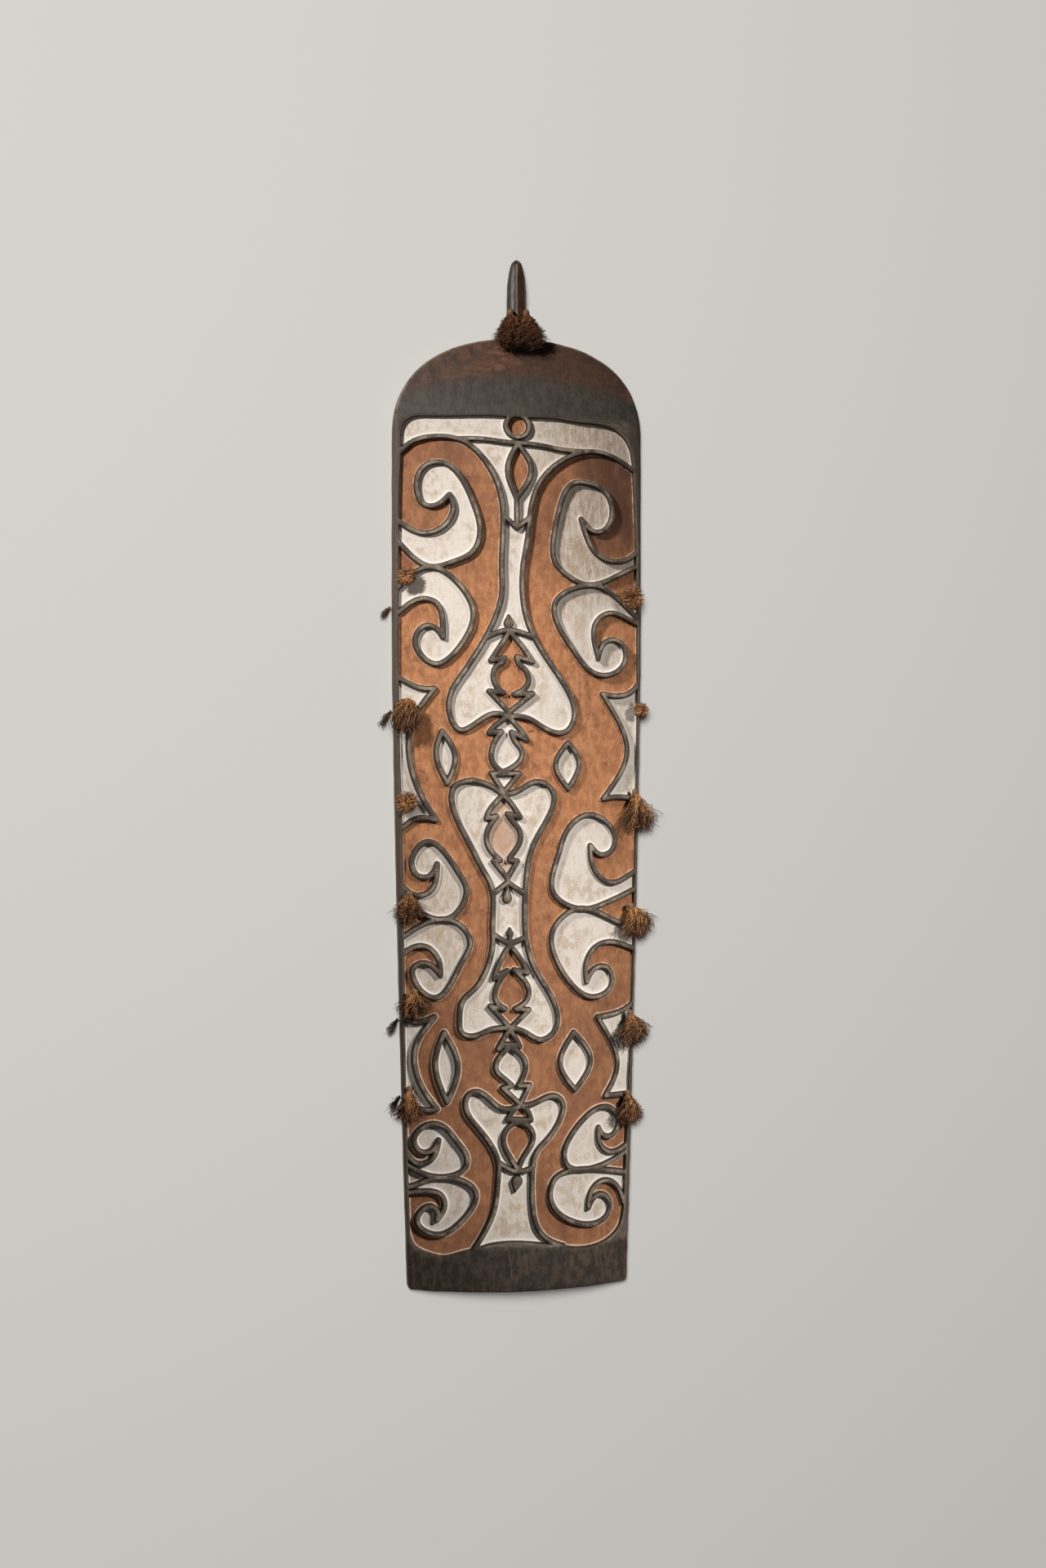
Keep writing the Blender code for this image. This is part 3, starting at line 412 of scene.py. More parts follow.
# The winding ridges that part the ochre ground from the white middle column, from the top down.
COLUMN_EDGES: tuple[Line, ...] = (
    ((-218, 580), (-194, 599), (-128, 605), (-94, 590), (-44, 512), (-38, 413), (-39, 361), (-41, 310),
     (-111, 175), (-129, 144), (-131, 105), (-113, 77), (-59, 105), (-28, 102)),
    ((213, 558), (178, 577), (123, 585), (28, 520), (8, 424), (0, 377), (6, 278), (58, 186), (96, 103),
     (78, 74), (42, 79), (9, 98), (-28, 102)),
    ((-36, -40), (-61, -23), (-95, -14), (-124, -27), (-120, -80), (-95, -131), (-75, -171), (-57, -208),
     (-56, -276), (-56, -313), (-86, -387), (-108, -410), (-114, -442), (-109, -469), (-86, -473),
     (-59, -462), (-26, -459)),
    ((-36, -40), (-9, -32), (24, -16), (52, -30), (56, -57), (20, -127), (4, -205), (5, -302), (20, -352),
     (45, -393), (62, -431), (59, -465), (32, -482), (2, -467), (-26, -459)),
    ((-6, -600), (-40, -604), (-82, -574), (-100, -582), (-102, -608), (-83, -637), (-47, -695), (-46, -734),
     (-53, -787), (-88, -857)),
    ((-6, -600), (20, -596), (56, -584), (73, -597), (69, -626), (44, -662), (23, -686), (16, -726),
     (17, -784), (28, -825), (49, -846), (75, -857)),
)

# White panels that bite into the ochre from the rims, each with two tips.
BITES: tuple[tuple[Line, ...], ...] = (
    (((-221, 173), (-183, 153), (-158, 152)), ((-158, 152), (-198, 84), (-190, -19), (-155, -85)),
     ((-155, -85), (-187, -82), (-214, -101))),
    (((226, 164), (209, 148), (182, 141), (151, 144)),
     ((151, 144), (200, 59), (200, 25), (177, -17), (153, -47)),
     ((153, -47), (190, -44), (227, -49))),
    (((-212, -442), (-192, -450), (-157, -440)), ((-157, -440), (-191, -498), (-181, -564), (-153, -606)),
     ((-153, -606), (-175, -608), (-210, -598))),
    (((223, -418), (196, -435), (142, -445)),
     ((142, -445), (164, -480), (181, -517), (181, -547), (158, -590)),
     ((158, -590), (183, -590), (216, -589))),
)

# Almond-shaped fields: top tip, left side, bottom tip, right side. The last is the lens in the column.
ALMONDS: tuple[Line, ...] = (
    ((-145, 75), (-155, 36), (-136, -19), (-122, 30)),
    ((84, 55), (60, 15), (84, -29), (105, 17)),
    ((-141, -468), (-156, -524), (-136, -593), (-117, -528)),
    ((95, -471), (69, -526), (98, -575), (128, -522)),
    ((-9, 594), (-28, 548), (-12, 495), (15, 548)),
)

BAR_FOOT: Line = ((-114, 602), (-75, 602), (-31, 597), (29, 593), (73, 586), (123, 585))
ARCH: Line = ((-68, 243), (-48, 252), (-27, 257), (-8, 254), (19, 244))
CHEVRONS: tuple[Line, ...] = (((-34, 461), (-12, 441), (9, 458)), ((-54, -217), (-29, -197), (3, -219)),
                              ((-53, -292), (-25, -309), (2, -297)))
STEMS: tuple[Line, ...] = (((-12, 495), (-12, 442)), ((-29, -189), (-29, -198)), ((-25, -294), (-25, -308)))
RING_CENTRE: Spot = (-8, 627)
RING_RADIUS = 21.0
# Small drops: tip, middle of the round end, and its radius.
DROPS = (((-27, 286), (-27, 269), 8.0), ((-29, -200), (-30, -226), 8.0), ((-25, -278), (-25, -290), 6.0),
         ((-16, -756), (-12, -735), 9.5))

# The edge of the sunk panel: left rim upwards, the top bar, right rim downwards, then the foot's arcs.
PANEL_EDGE: tuple[Line, ...] = (
    ((-200, -833), (-205, -640), (-209, -447), (-214, -101), (-219, 68), (-220, 340), (-219, 500),
     (-216, 600)),
    ((-216, 600), (-213, 628), (-200, 641), (-168, 644), (-117, 644), (-59, 645), (19, 643), (62, 643),
     (108, 638), (157, 635), (189, 621), (206, 600), (214, 558)),
    ((214, 558), (219, 446), (223, 70), (220, -80), (212, -441), (203, -640), (196, -789)),
    ((196, -789), (184, -835), (131, -861), (73, -857)),
    ((73, -857), (29, -848), (-54, -846), (-88, -857)),
    ((-88, -857), (-115, -864), (-140, -871), (-168, -866), (-190, -855), (-200, -833)),
)


# A place in every white field: the scrolls, the top bar and column, the bites, the almonds and two figures.
LIME_PLACES: tuple[Spot, ...] = (
    (-162, 390), (-157, 215), (116, 361), (156, 196), (-154, -245), (-160, -386), (120, -229), (135, -390),
    (-150, -710), (-126, -798), (119, -703), (139, -803), (194, 590), (-45, 560), (33, 556), (-17, 295),
    (-109, 96), (68, 90), (-84, -113), (11, -103), (-37, -271), (-95, -455), (33, -464), (-52, -646),
    (34, -645), (11, -831), (-200, -68), (198, -26), (-191, -585), (191, -571), (-139, 32), (83, 4),
    (-136, -540), (98, -546), (-29, 86), (-30, 19), (-35, -14), (-22, -543), (-12, -577))
PINK_PLACES: tuple[Spot, ...] = ((-37, -134), (-192, -731))


@dataclass(frozen=True)
class Ridge:
    """One straight piece of a raised ridge."""

    start: Array
    end: Array
    half_width: float


class Pattern:
    """Everything that is left standing when the fields are sunk."""

    ridge_half_width = 3.9 * MM

    def ridges(self) -> list[Ridge]:
        """Lists every ridge in straight pieces."""
        lines = [line for scroll in SCROLLS for line in scroll.lines()]
        lines += [smooth_curve(edge) for edge in COLUMN_EDGES]
        lines += [smooth_curve(line) for bite in BITES for line in bite]
        for top, left, bottom, right in ALMONDS:
            lines += [smooth_curve((top, left, bottom)), smooth_curve((top, right, bottom))]
        for figure in FIGURES:
            lines += figure.lines()
        lines += [smooth_curve(BAR_FOOT), smooth_curve(ARCH)]
        lines += [np.array(line) * MM for line in CHEVRONS + STEMS]
        turns = np.linspace(0, 2 * math.pi, 41)
        ring = np.array(RING_CENTRE) + RING_RADIUS * np.stack([np.cos(turns), np.sin(turns)], axis=1)
        lines.append(ring * MM)
        pieces = [Ridge(a, b, self.ridge_half_width) for line in lines for a, b in zip(line[:-1], line[1:])]
        for tip, middle, radius in DROPS:
            for t in np.linspace(0, 1, 9)[1:]:
                place = (np.array(tip) * (1 - t) + np.array(middle) * t) * MM
                pieces.append(Ridge(place, place, radius * MM * t))
        return pieces

    def panel(self) -> Array:
        """Draws the sunk panel's edge."""
        return np.vstack([smooth_curve(piece)[:-1] for piece in PANEL_EDGE])

    def painted_places(self) -> list[tuple[Spot, Paint]]:
        """Lists a place, in millimetres, in every field that isn't plain ochre."""
        return [(spot, Paint.LIME) for spot in LIME_PLACES] + [(spot, Paint.PINK) for spot in PINK_PLACES]


@dataclass(frozen=True)
class Grid:
    """A square grid over the board's plan, with one value at each node."""

    origin: Array
    step: float
    values: Array

    def take_in(self, ridge: Ridge, reach: float) -> None:
        """Lowers the values round one ridge piece to the distance from its side.

        Args:
            ridge: The straight piece of ridge.
            reach: The largest distance that matters.
        """
        low = np.minimum(ridge.start, ridge.end) - reach - ridge.half_width
        high = np.maximum(ridge.start, ridge.end) + reach + ridge.half_width
        first = np.maximum(((low - self.origin) / self.step).astype(int), 0)
        last = ((high - self.origin) / self.step).astype(int) + 2
        window = self.values[first[1]:last[1], first[0]:last[0]]
        across, along = np.meshgrid(np.arange(window.shape[1]), np.arange(window.shape[0]))
        places = (np.stack([across.ravel(), along.ravel()], axis=1) + first) * self.step + self.origin
        away = distance_to(places, ridge.start, ridge.end) - ridge.half_width
        np.minimum(window, away.reshape(window.shape), out=window)

    def within(self, loop: Array) -> Array:
        """Tells which nodes lie inside a closed loop, by counting its crossings along each row.

        Args:
            loop: The loop's points.

        Returns:
            A mask of the nodes.
        """
        rows, cols = self.values.shape
        after = np.roll(loop, -1, axis=0)
        across = self.origin[0] + self.step * np.arange(cols)
        held = np.zeros((rows, cols), bool)
        for row in range(rows):
            y = self.origin[1] + self.step * row
            crosses = (loop[:, 1] > y) != (after[:, 1] > y)
            a, b = loop[crosses], after[crosses]
            meets = np.sort(a[:, 0] + (y - a[:, 1]) * (b[:, 0] - a[:, 0]) / (b[:, 1] - a[:, 1]))
            held[row] = np.searchsorted(meets, across) % 2 == 1
        return held

    def sample(self, points: Array) -> Array:
        """Reads the grid between its nodes.

        Args:
            points: Plan points.

        Returns:
            One value for each point.
        """
        place = (points - self.origin) / self.step
        rows, cols = self.values.shape
        col = np.clip(place[:, 0], 0, cols - 1.001)
        row = np.clip(place[:, 1], 0, rows - 1.001)
        c, r = col.astype(int), row.astype(int)
        u, v = col - c, row - r
        near = self.values
        return ((near[r, c] * (1 - u) + near[r, c + 1] * u) * (1 - v)
                + (near[r + 1, c] * (1 - u) + near[r + 1, c + 1] * u) * v)

    def node_of(self, spot: Spot) -> tuple[int, int]:
        """Gives the row and column nearest a place in millimetres."""
        col, row = np.round((np.array(spot) * MM - self.origin) / self.step).astype(int)
        return int(row), int(col)

    def loops(self, level: float) -> list[Array]:
        """Traces where the values cross a level.

        Args:
            level: The value to trace.

        Returns:
            Closed loops of plan points.
        """
        over = self.values > level
        rows, cols = over.shape
        corner = over[:-1, :-1] * 1 + over[:-1, 1:] * 2 + over[1:, 1:] * 4 + over[1:, :-1] * 8
        row, col = np.nonzero((corner > 0) & (corner < 15))
        upright = rows * cols
        base = row * cols + col
        sides = {"S": base, "E": upright + base + 1, "N": base + cols, "W": upright + base}
        links: dict[int, list[int]] = {}
        kinds = corner[row, col]
        for kind, pairs in CELL_CROSSINGS.items():
            chosen = kinds == kind
            for first, second in pairs:
                for a, b in zip(sides[first][chosen].tolist(), sides[second][chosen].tolist()):
                    links.setdefault(a, []).append(b)
                    links.setdefault(b, []).append(a)
        loops = []
        while links:
            here = next(iter(links))
            chain = [here]
            while onward := [other for other in links.pop(here, []) if other in links]:
                here = onward[0]
                chain.append(here)
            loops.append(self._crossings(np.array(chain), level))
        return [loop for loop in loops if len(loop) > 6]

    def _crossings(self, chain: Array, level: float) -> Array:
        """Places the crossings of a level on the grid's edges.

        Args:
            chain: The numbers of the edges that are crossed, in order.
            level: The value that is traced.

        Returns:
            The plan point of each crossing.
        """
        rows, cols = self.values.shape
        upright = chain >= rows * cols
        node = np.where(upright, chain - rows * cols, chain)
        row, col = node // cols, node % cols
        low = self.values[row, col]
        high = self.values[row + upright, col + ~upright]
        share = (level - low) / np.where(high == low, 1, high - low)
        return np.stack([col + share * ~upright, row + share * upright], axis=1) * self.step + self.origin


# Which sides of a grid cell a contour joins, for each pattern of its corners over the level.
CELL_CROSSINGS = {
    1: ("WS",), 2: ("SE",), 3: ("WE",), 4: ("EN",), 5: ("WS", "EN"), 6: ("SN",), 7: ("WN",), 8: ("NW",),
    9: ("NS",), 10: ("SE", "NW"), 11: ("NE",), 12: ("EW",), 13: ("ES",), 14: ("SW",)}


class Relief:
    """The carved depth all over the face, worked out from the distance into each sunk field."""

    grid_step = 1.25 * MM
    reach = 14.0 * MM
    margin = 4.0 * MM
    painted_from = 1.0 * MM
    carried_steps = 6
    # Distance into a field, and how far the carving has gone down there, in millimetres.
    profile = ((-3.9, 0.0), (-2.2, 0.12), (-0.9, 0.55), (0.0, 1.7), (0.7, 5.6), (1.5, 9.0), (2.5, 10.1),
               (5.0, 10.6))

    def __init__(self, plank: Plank, pattern: Pattern) -> None:
        """Measures the pattern on a grid.

        Args:
            plank: The board before it is carved.
            pattern: What is left standing.
        """
        self.plank = plank
        corner = np.array([-plank.half_width - self.margin, plank.foot_y - self.margin])
        size = np.array([2 * plank.half_width, plank.dome_top_y - plank.foot_y]) + 2 * self.margin
        cols, rows = (np.ceil(size / self.grid_step).astype(int) + 1).tolist()
        self.depth = Grid(corner, self.grid_step, np.full((rows, cols), self.reach))
        for ridge in pattern.ridges():
            self.depth.take_in(ridge, self.reach)
        border = pattern.panel()
        edge = Grid(corner, self.grid_step, np.full((rows, cols), self.reach))
        for start, end in zip(border, np.roll(border, -1, axis=0)):
            edge.take_in(Ridge(start, end, 0), self.reach)
        held = edge.within(border)
        np.minimum(self.depth.values, np.where(held, edge.values, -edge.values), out=self.depth.values)
        self.lime = Grid(corner, self.grid_step, self._painted(pattern))

    def _painted(self, pattern: Pattern) -> Array:
        """Works out the share of white in the paint at each node.

        Args:
            pattern: What is left standing, and the places that are painted.

        Returns:
            The shares, carried a little way over the ridges between the fields.
        """
        sunk = self.depth.values > self.painted_from
        shares = np.full(sunk.shape, -1.0, np.float32)
        for spot, paint in pattern.painted_places():
            node = self.depth.node_of(spot)
            if not sunk[node]:
                raise ValueError(f"there is no field at {spot}")
            shares[node] = paint.value
        known, before = np.count_nonzero(shares >= 0), 0
        while known > before:
            shares = self._spread(shares, sunk)
            known, before = np.count_nonzero(shares >= 0), known
        shares[sunk & (shares < 0)] = Paint.OCHRE.value
        for _ in range(self.carried_steps):
            shares = self._spread(shares, ~sunk)
        return np.maximum(shares, 0)

    @staticmethod
    def _spread(shares: Array, where: Array) -> Array:
        """Fills unknown nodes of a mask from their known neighbours, one step each way."""
        for axis, way in ((0, 1), (0, -1), (1, 1), (1, -1)):
            shares = np.where(where & (shares < 0), np.roll(shares, way, axis=axis), shares)
        return shares

    def sunk(self, depth: Array) -> Array:
        """Gives how far below the face the carving is, for distances into a field."""
        into, down = np.array(self.profile).T
        return np.interp(depth / MM, into, down) * MM


# ---------------------------------------------------------------- the board's skin

def ripple(points: Array, cell: float, stretch: float, seed: float) -> Array:
    """Makes gentle unevenness over the plan.

    Args:
        points: Plan points.
        cell: The size of the bumps across the board.
        stretch: How many times longer they are along it.
        seed: Shifts the pattern, so that two layers differ.

    Returns:
        A value from about -1 to 1 for each point.
    """
    return np.array([noise.noise(Vector((x / cell, y / (cell * stretch), seed))) for x, y in points.tolist()])


def triangulated(loops: list[Array], lines: list[Array],
                 loose: Array) -> tuple[Array, Array, list[int]]:
    """Triangulates the plan inside the first loop, keeping every loop's and line's edges.

    Args:
        loops: Closed loops, the outline first.
        lines: Open lines to keep.
        loose: Points that belong to no line.

    Returns:
        The points, the triangles, and the new number of each outline point.
    """
    points = np.vstack([*loops, *lines, loose])
    edges, start = [], 0
    for loop in loops:
        edges += [(start + i, start + (i + 1) % len(loop)) for i in range(len(loop))]
        start += len(loop)
    for line in lines:
        edges += [(start + i, start + i + 1) for i in range(len(line) - 1)]
        start += len(line)
    made, _, faces, sources, *_ = delaunay_2d_cdt([Vector(p) for p in points], edges, [], 1, 1e-7)
    border = {source: i for i, given in enumerate(sources) for source in given if source < len(loops[0])}
    return (np.array([tuple(p) for p in made]), np.array([tuple(face) for face in faces if len(face) == 3]),
            [border[i] for i in range(len(loops[0]))])


def linked(name: str, data: bpy.types.ID) -> Object:
    """Puts an object that shows some data into the scene."""
    made = bpy.data.objects.new(name, data)
    bpy.context.scene.collection.objects.link(made)
    return made


def evaluated_mesh(thing: Object) -> bpy.types.Mesh:
    """Makes a mesh of what an object's modifiers give."""
    graph = bpy.context.evaluated_depsgraph_get()
    return bpy.data.meshes.new_from_object(thing.evaluated_get(graph))


def take_mesh(thing: Object, mesh: bpy.types.Mesh, name: str) -> None:
    """Gives an object a mesh in place of its old one and of its modifiers.

    Args:
        thing: The object.
        mesh: Its new mesh.
        name: The mesh's name.
    """
    thing.modifiers.clear()
    old, thing.data = thing.data, mesh
    bpy.data.meshes.remove(old)
    mesh.name = name


def mesh_object(name: str, points: Array, faces: Iterable[Sequence[int]]) -> Object:
    """Makes an object from points and faces."""
    data = bpy.data.meshes.new(name)
    data.from_pydata([tuple(p) for p in points], [], [tuple(face) for face in faces])
    return linked(name, data)


class BoardSkin:
    """The board's closed skin: the carved face, the side faces and the hollowed back."""

    levels = (-1.8, -0.1, 0.7, 1.5, 2.5, 5.0)
    tolerance = 0.12 * MM
    longest = 4.6 * MM
    support_step = 9.0 * MM
    back_step = 9.0 * MM
    edge_radius = 4.0 * MM
    edge_steps = (0.8 * MM, 2.2 * MM, 4.5 * MM)
    back_edge_radius = 3.0 * MM
    back_edge_steps = (1.0 * MM, 2.8 * MM)
    outline_step = 6.0 * MM
    rim_reach = 0.02
    side_rows = 4

    def __init__(self, plank: Plank, relief: Relief) -> None:
        """Takes the plank and what is carved into it.

        Args:
            plank: The board before it is carved.
            relief: The carved depth over its face.
        """
        self.plank = plank
        self.relief = relief
        plain = plank.outline(self.outline_step)
        self.outline = inset(plain, 0.0004 + 0.0005 * (1 + ripple(plain, 0.045, 1, 3.0)))
        self.rim = Grid(relief.depth.origin, relief.grid_step,
                        np.full(relief.depth.values.shape, self.rim_reach))
        for start, end in zip(self.outline, np.roll(self.outline, -1, axis=0)):
            self.rim.take_in(Ridge(start, end, 0), self.rim_reach)
        self.plan = self.rim.within(self.outline)

    def build(self) -> Object:
        """Builds the closed skin."""
        front, front_faces, top = self._face()
        back, back_faces, bottom = self._back()
        points = [front, back]
        faces = [front_faces, back_faces[:, ::-1] + len(front)]
        upper = np.array(top)
        lower = np.array(bottom) + len(front)
        count = len(front) + len(back)
        before = upper
        for row in range(1, self.side_rows):
            share = row / self.side_rows
            ring = front[top] * (1 - share) + back[bottom] * share
            ring[:, :2] = inset(ring[:, :2], 0.0006 * (1 + ripple(ring[:, :2], 0.02, 1, 5.0 + row)))
            points.append(ring)
            after = np.arange(count, count + len(ring))
            faces.append(self._band(before, after))
            before, count = after, count + len(ring)
        faces.append(self._band(before, lower))
        return mesh_object("carved_board", np.vstack(points), np.vstack(faces))

    @staticmethod
    def _band(upper: Array, lower: Array) -> Array:
        """Joins two rings of the same count with triangles."""
        upper_next, lower_next = np.roll(upper, -1), np.roll(lower, -1)
        return np.vstack([np.stack([upper_next, upper, lower], axis=1),
                          np.stack([upper_next, lower, lower_next], axis=1)])

    def _supports(self, step: float) -> Array:
        """Lays a staggered grid of points over the plan, clear of its edge.

        Args:
            step: The spacing of the points.

        Returns:
            The plan points.
        """
        rows = np.arange(self.plank.foot_y + step / 2, self.plank.dome_top_y, step * 0.87)
        across = np.arange(-self.plank.half_width, self.plank.half_width, step)
        grid = np.array([(x + (step / 2 if row % 2 else 0), y) for row, y in enumerate(rows) for x in across])
        held = Grid(self.rim.origin, self.rim.step, self.plan.astype(float)).sample(grid) > 0.99
        return grid[held & (self.rim.sample(grid) > self.edge_steps[-1] + step * 0.4)]

    def _face(self) -> tuple[Array, Array, list[int]]:
        """Builds the carved face.

        Returns:
            Its points, its triangles, and the points of its outline in order.
        """
        depth = self.relief.depth
        loops = [self.outline] + [inset(self.outline, step) for step in self.edge_steps]
        for level in self.levels:
            loops += [thinned(loop, self.tolerance, self.longest) for loop in depth.loops(level * MM)]
        loose = self._supports(self.support_step)
        into = depth.sample(loose) / MM
        loose = loose[(into < self.levels[0] - 3.5) | (into > self.levels[-1] + 3.0)]
        plan, faces, border = triangulated(loops, [], loose)
        into = depth.sample(plan)
        height = self.plank.face_z(plan[:, 0], plan[:, 1]) - self.relief.sunk(into)
        height += self._unevenness(plan, into) - self._rounding(plan, self.edge_radius)
        return np.column_stack([plan, height]), faces, border

    def _unevenness(self, plan: Array, into: Array) -> Array:
        """Works out how a hand-cut face strays: wavy floors, uneven ridge tops and long swells.

        Args:
            plan: Plan points.
            into: How far each lies into a field.

        Returns:
            A height for each point.
        """
        floor = np.clip(into / (4 * MM), 0, 1)
        wide = np.clip(-into / MM - 4, 0, 4) / 4
        swell = ripple(plan, 0.05, 1.6, 11.0) * 0.6 * MM
        floors = ripple(plan, 0.014, 2.2, 17.0) * 0.5 * MM * floor
        tops = ripple(plan, 0.011, 1.0, 23.0) * 0.35 * MM * (1 - floor)
        plain = ripple(plan, 0.022, 2.5, 29.0) * 0.5 * MM * wide
        return swell + floors + tops + plain

    def _rounding(self, plan: Array, radius: float) -> Array:
        """Gives how far an edge rounded to a radius has dropped."""
        short = np.clip(radius - self._edge_distance(plan), 0, radius)
        return radius - np.sqrt(radius ** 2 - short ** 2)

    def _edge_distance(self, plan: Array) -> Array:
        """Gives the distance to the outline, which is none on it."""
        away = self.rim.sample(plan)
        return np.where(away < 0.6 * MM, np.maximum(away - 0.3 * MM, 0), away)

    def _back(self) -> tuple[Array, Array, list[int]]:
        """Builds the hollowed back, with the shallow scallops of the adze.

        Returns:
            Its points, its triangles, and the points of its outline in order.
        """
        plank = self.plank
        rows = np.arange(plank.foot_y + 0.006, plank.shoulder_y, self.back_step)
        inner = plank.half_width_at(rows) - plank.edge_land
        lands = [np.column_stack([sign * inner, rows]) for sign in (-1, 1)]
        loose = self._supports(self.back_step)
        away = plank.half_width_at(loose[:, 1]) - plank.edge_land - np.abs(loose[:, 0])
        loose = loose[(np.abs(away) > 3 * MM) | (loose[:, 1] > plank.shoulder_y + 0.004)]
        loops = [self.outline] + [inset(self.outline, step) for step in self.back_edge_steps]
        plan, faces, border = triangulated(loops, lands, loose)
        hollow = plank.back_z(plan[:, 0], plan[:, 1])
        cells = np.array([noise.voronoi(Vector((x / 0.030, y / 0.055, 7.0)))[0][0] for x, y in plan.tolist()])
        scallops = 2.2 * MM * np.clip(cells, 0, 0.8) ** 2 * np.clip(hollow / 0.006, 0, 1)
        height = hollow - scallops + self._rounding(plan, self.back_edge_radius)
        return np.column_stack([plan, height]), faces, border


# ---------------------------------------------------------------- spur, grip and holes

def swept(name: str, rings: Array) -> Object:
    """Joins rings of points, each of the same count, into a closed body.

    Args:
        name: The new object's name.
        rings: Points, by ring and by place round it.

    Returns:
        The body, with its faces turned outwards.
    """
    count = rings.shape[1]
    faces: list[tuple[int, ...]] = []
    for ring in range(len(rings) - 1):
        low, high = ring * count, (ring + 1) * count
        faces += [(low + i, low + (i + 1) % count, high + (i + 1) % count, high + i) for i in range(count)]
    ends = (len(rings) * count, len(rings) * count + 1)
    last = (len(rings) - 1) * count
    for i in range(count):
        j = (i + 1) % count
        faces += [(j, i, ends[0]), (last + i, last + j, ends[1])]
    points = np.vstack([rings.reshape(-1, 3), rings[0].mean(axis=0), rings[-1].mean(axis=0)])
    made = mesh_object(name, points, faces)
    mesh = bmesh.new()
    mesh.from_mesh(made.data)
    bmesh.ops.recalc_face_normals(mesh, faces=mesh.faces)
    mesh.to_mesh(made.data)
    mesh.free()
    return made


@dataclass(frozen=True)
class Spur:
    """The spur that grows out of the top edge, with one long facet cut along it."""

    x: float = -0.004
    z: float = 0.0265
    flatness: float = 0.80
    profile: tuple[Spot, ...] = ((0.745, 0.0120), (0.790, 0.0186), (0.836, 0.0185), (0.868, 0.0176),
                                 (0.902, 0.0155), (0.919, 0.0123), (0.929, 0.0085), (0.9345, 0.0024))
    facet_turn: float = math.radians(61)
    facet_depth: float = 0.82
    facet_ends_y: float = 0.926
    pale_edge_turn: float = 0.16
    reach: float = 0.019
    sides: int = 64
    stations: int = 84

    def radius(self, y: Array) -> Array:
        """Gives the radius at y, smoothed between the profile's places."""
        curve = smooth_curve([(a / MM, r / MM) for a, r in self.profile], step=1.0)
        return np.interp(y, curve[:, 0], curve[:, 1])

    def build(self) -> Object:
        """Sweeps the spur's sections along it."""
        first, last = self.profile[0][0], self.profile[-1][0]
        share = np.linspace(0, 1, self.stations)
        along = first + (last - first) * (1 - (1 - share) ** 1.6)
        turns = around(self.sides)
        unit = np.stack([np.cos(turns), np.sin(turns)], axis=1)
        facet_way = np.array([math.cos(self.facet_turn), math.sin(self.facet_turn)])
        rings = []
        for y, radius in zip(along, self.radius(along)):
            fade = np.clip((y - self.facet_ends_y + 0.035) / 0.035, 0, 1)
            depth = self.facet_depth + (1 - self.facet_depth) * fade ** 1.5
            over = np.maximum(unit @ facet_way - depth, 0)
            section = (unit - over[:, None] * facet_way) * radius
            wobble = 1 + 0.012 * np.sin(y * 210 + 3 * turns) + 0.010 * np.sin(y * 95 - 2 * turns)
            section = section * wobble[:, None]
            rings.append(np.column_stack([self.x + section[:, 0], np.full(self.sides, y),
                                          self.z + section[:, 1] * self.flatness]))
        return swept("spur", np.array(rings))

    def edge_wear_and_highlight(self, points: Array) -> Array:
        """Tells how close points are to the facet's two long edges, 1 on them and 0 well away.

        Args:
            points: Places on the spur.

        Returns:
            One share for each place.
        """
        off = np.abs(self._turn_from_facet(points) - math.acos(self.facet_depth))
        return np.clip(1 - off / self.pale_edge_turn, 0, 1) * (points[:, 1] < self.facet_ends_y)

    def facet_share(self, points: Array) -> Array:
        """Tells which places lie on the facet."""
        return np.clip((math.acos(self.facet_depth) - self._turn_from_facet(points)) / 0.08, 0, 1)

    def _turn_from_facet(self, points: Array) -> Array:
        """Gives how far round from the facet's middle places lie."""
        turn = np.arctan2((points[:, 2] - self.z) / self.flatness, points[:, 0] - self.x)
        return np.abs(turn - self.facet_turn)


@dataclass(frozen=True)
class Grip:
    """The bar left standing along the middle of the hollow back, to hold the shield by.

    Its path gives places along the board and heights, in millimetres.
    """

    path: tuple[Spot, ...] = ((-88, 70), (-86, 58), (-79, 43), (-60, 25), (-30, 17), (0, 16), (30, 17),
                              (60, 25), (79, 43), (86, 58), (88, 70))
    half_width: float = 0.0165
    half_thickness: float = 0.0115
    roots_z: tuple[float, float] = (0.030, 0.065)
    widening: float = 0.25
    sides: int = 28

    def build(self) -> Object:
        """Sweeps the bar's rounded section along its path, wider at its roots."""
        spine = smooth_curve(self.path, step=3.0)
        way = directions(spine)
        normal = np.column_stack([-way[:, 1], way[:, 0]])
        cos, sin = np.cos(around(self.sides)), np.sin(around(self.sides))
        across = np.sign(cos) * np.abs(cos) ** 0.75
        through = np.sign(sin) * np.abs(sin) ** 0.75
        rings = []
        for (y, z), (ny, nz) in zip(spine, normal):
            root = np.clip((z - self.roots_z[0]) / (self.roots_z[1] - self.roots_z[0]), 0, 1)
            wave = 1 + 0.03 * math.sin(y * 150) + 0.02 * math.sin(y * 63 + 1)
            wide = self.half_width * (1 + self.widening * root ** 2) * wave
            thick = self.half_thickness * (1 + self.widening * root)
            rings.append(np.column_stack([across * wide, y + through * thick * ny,
                                          z + through * thick * nz]))
        return swept("grip", np.array(rings))


class Tie(Enum):
    """How a tassel's head shows: a wound knob, a thin neck, under the fibre, or inside a round tuft."""

    KNOB = "knob"
    NECK = "neck"
    MOP = "mop"
    TUFT = "tuft"


@dataclass(frozen=True)
class Tassel:
    """A fibre tassel: where its bound head lies, how it fans out, and which way it points.

    Places and lengths are in millimetres, and the lean is measured from straight down the board.
    """

    name: str
    head: Spot
    length: float
    spread: float
    lean_degrees: float
    tie: Tie


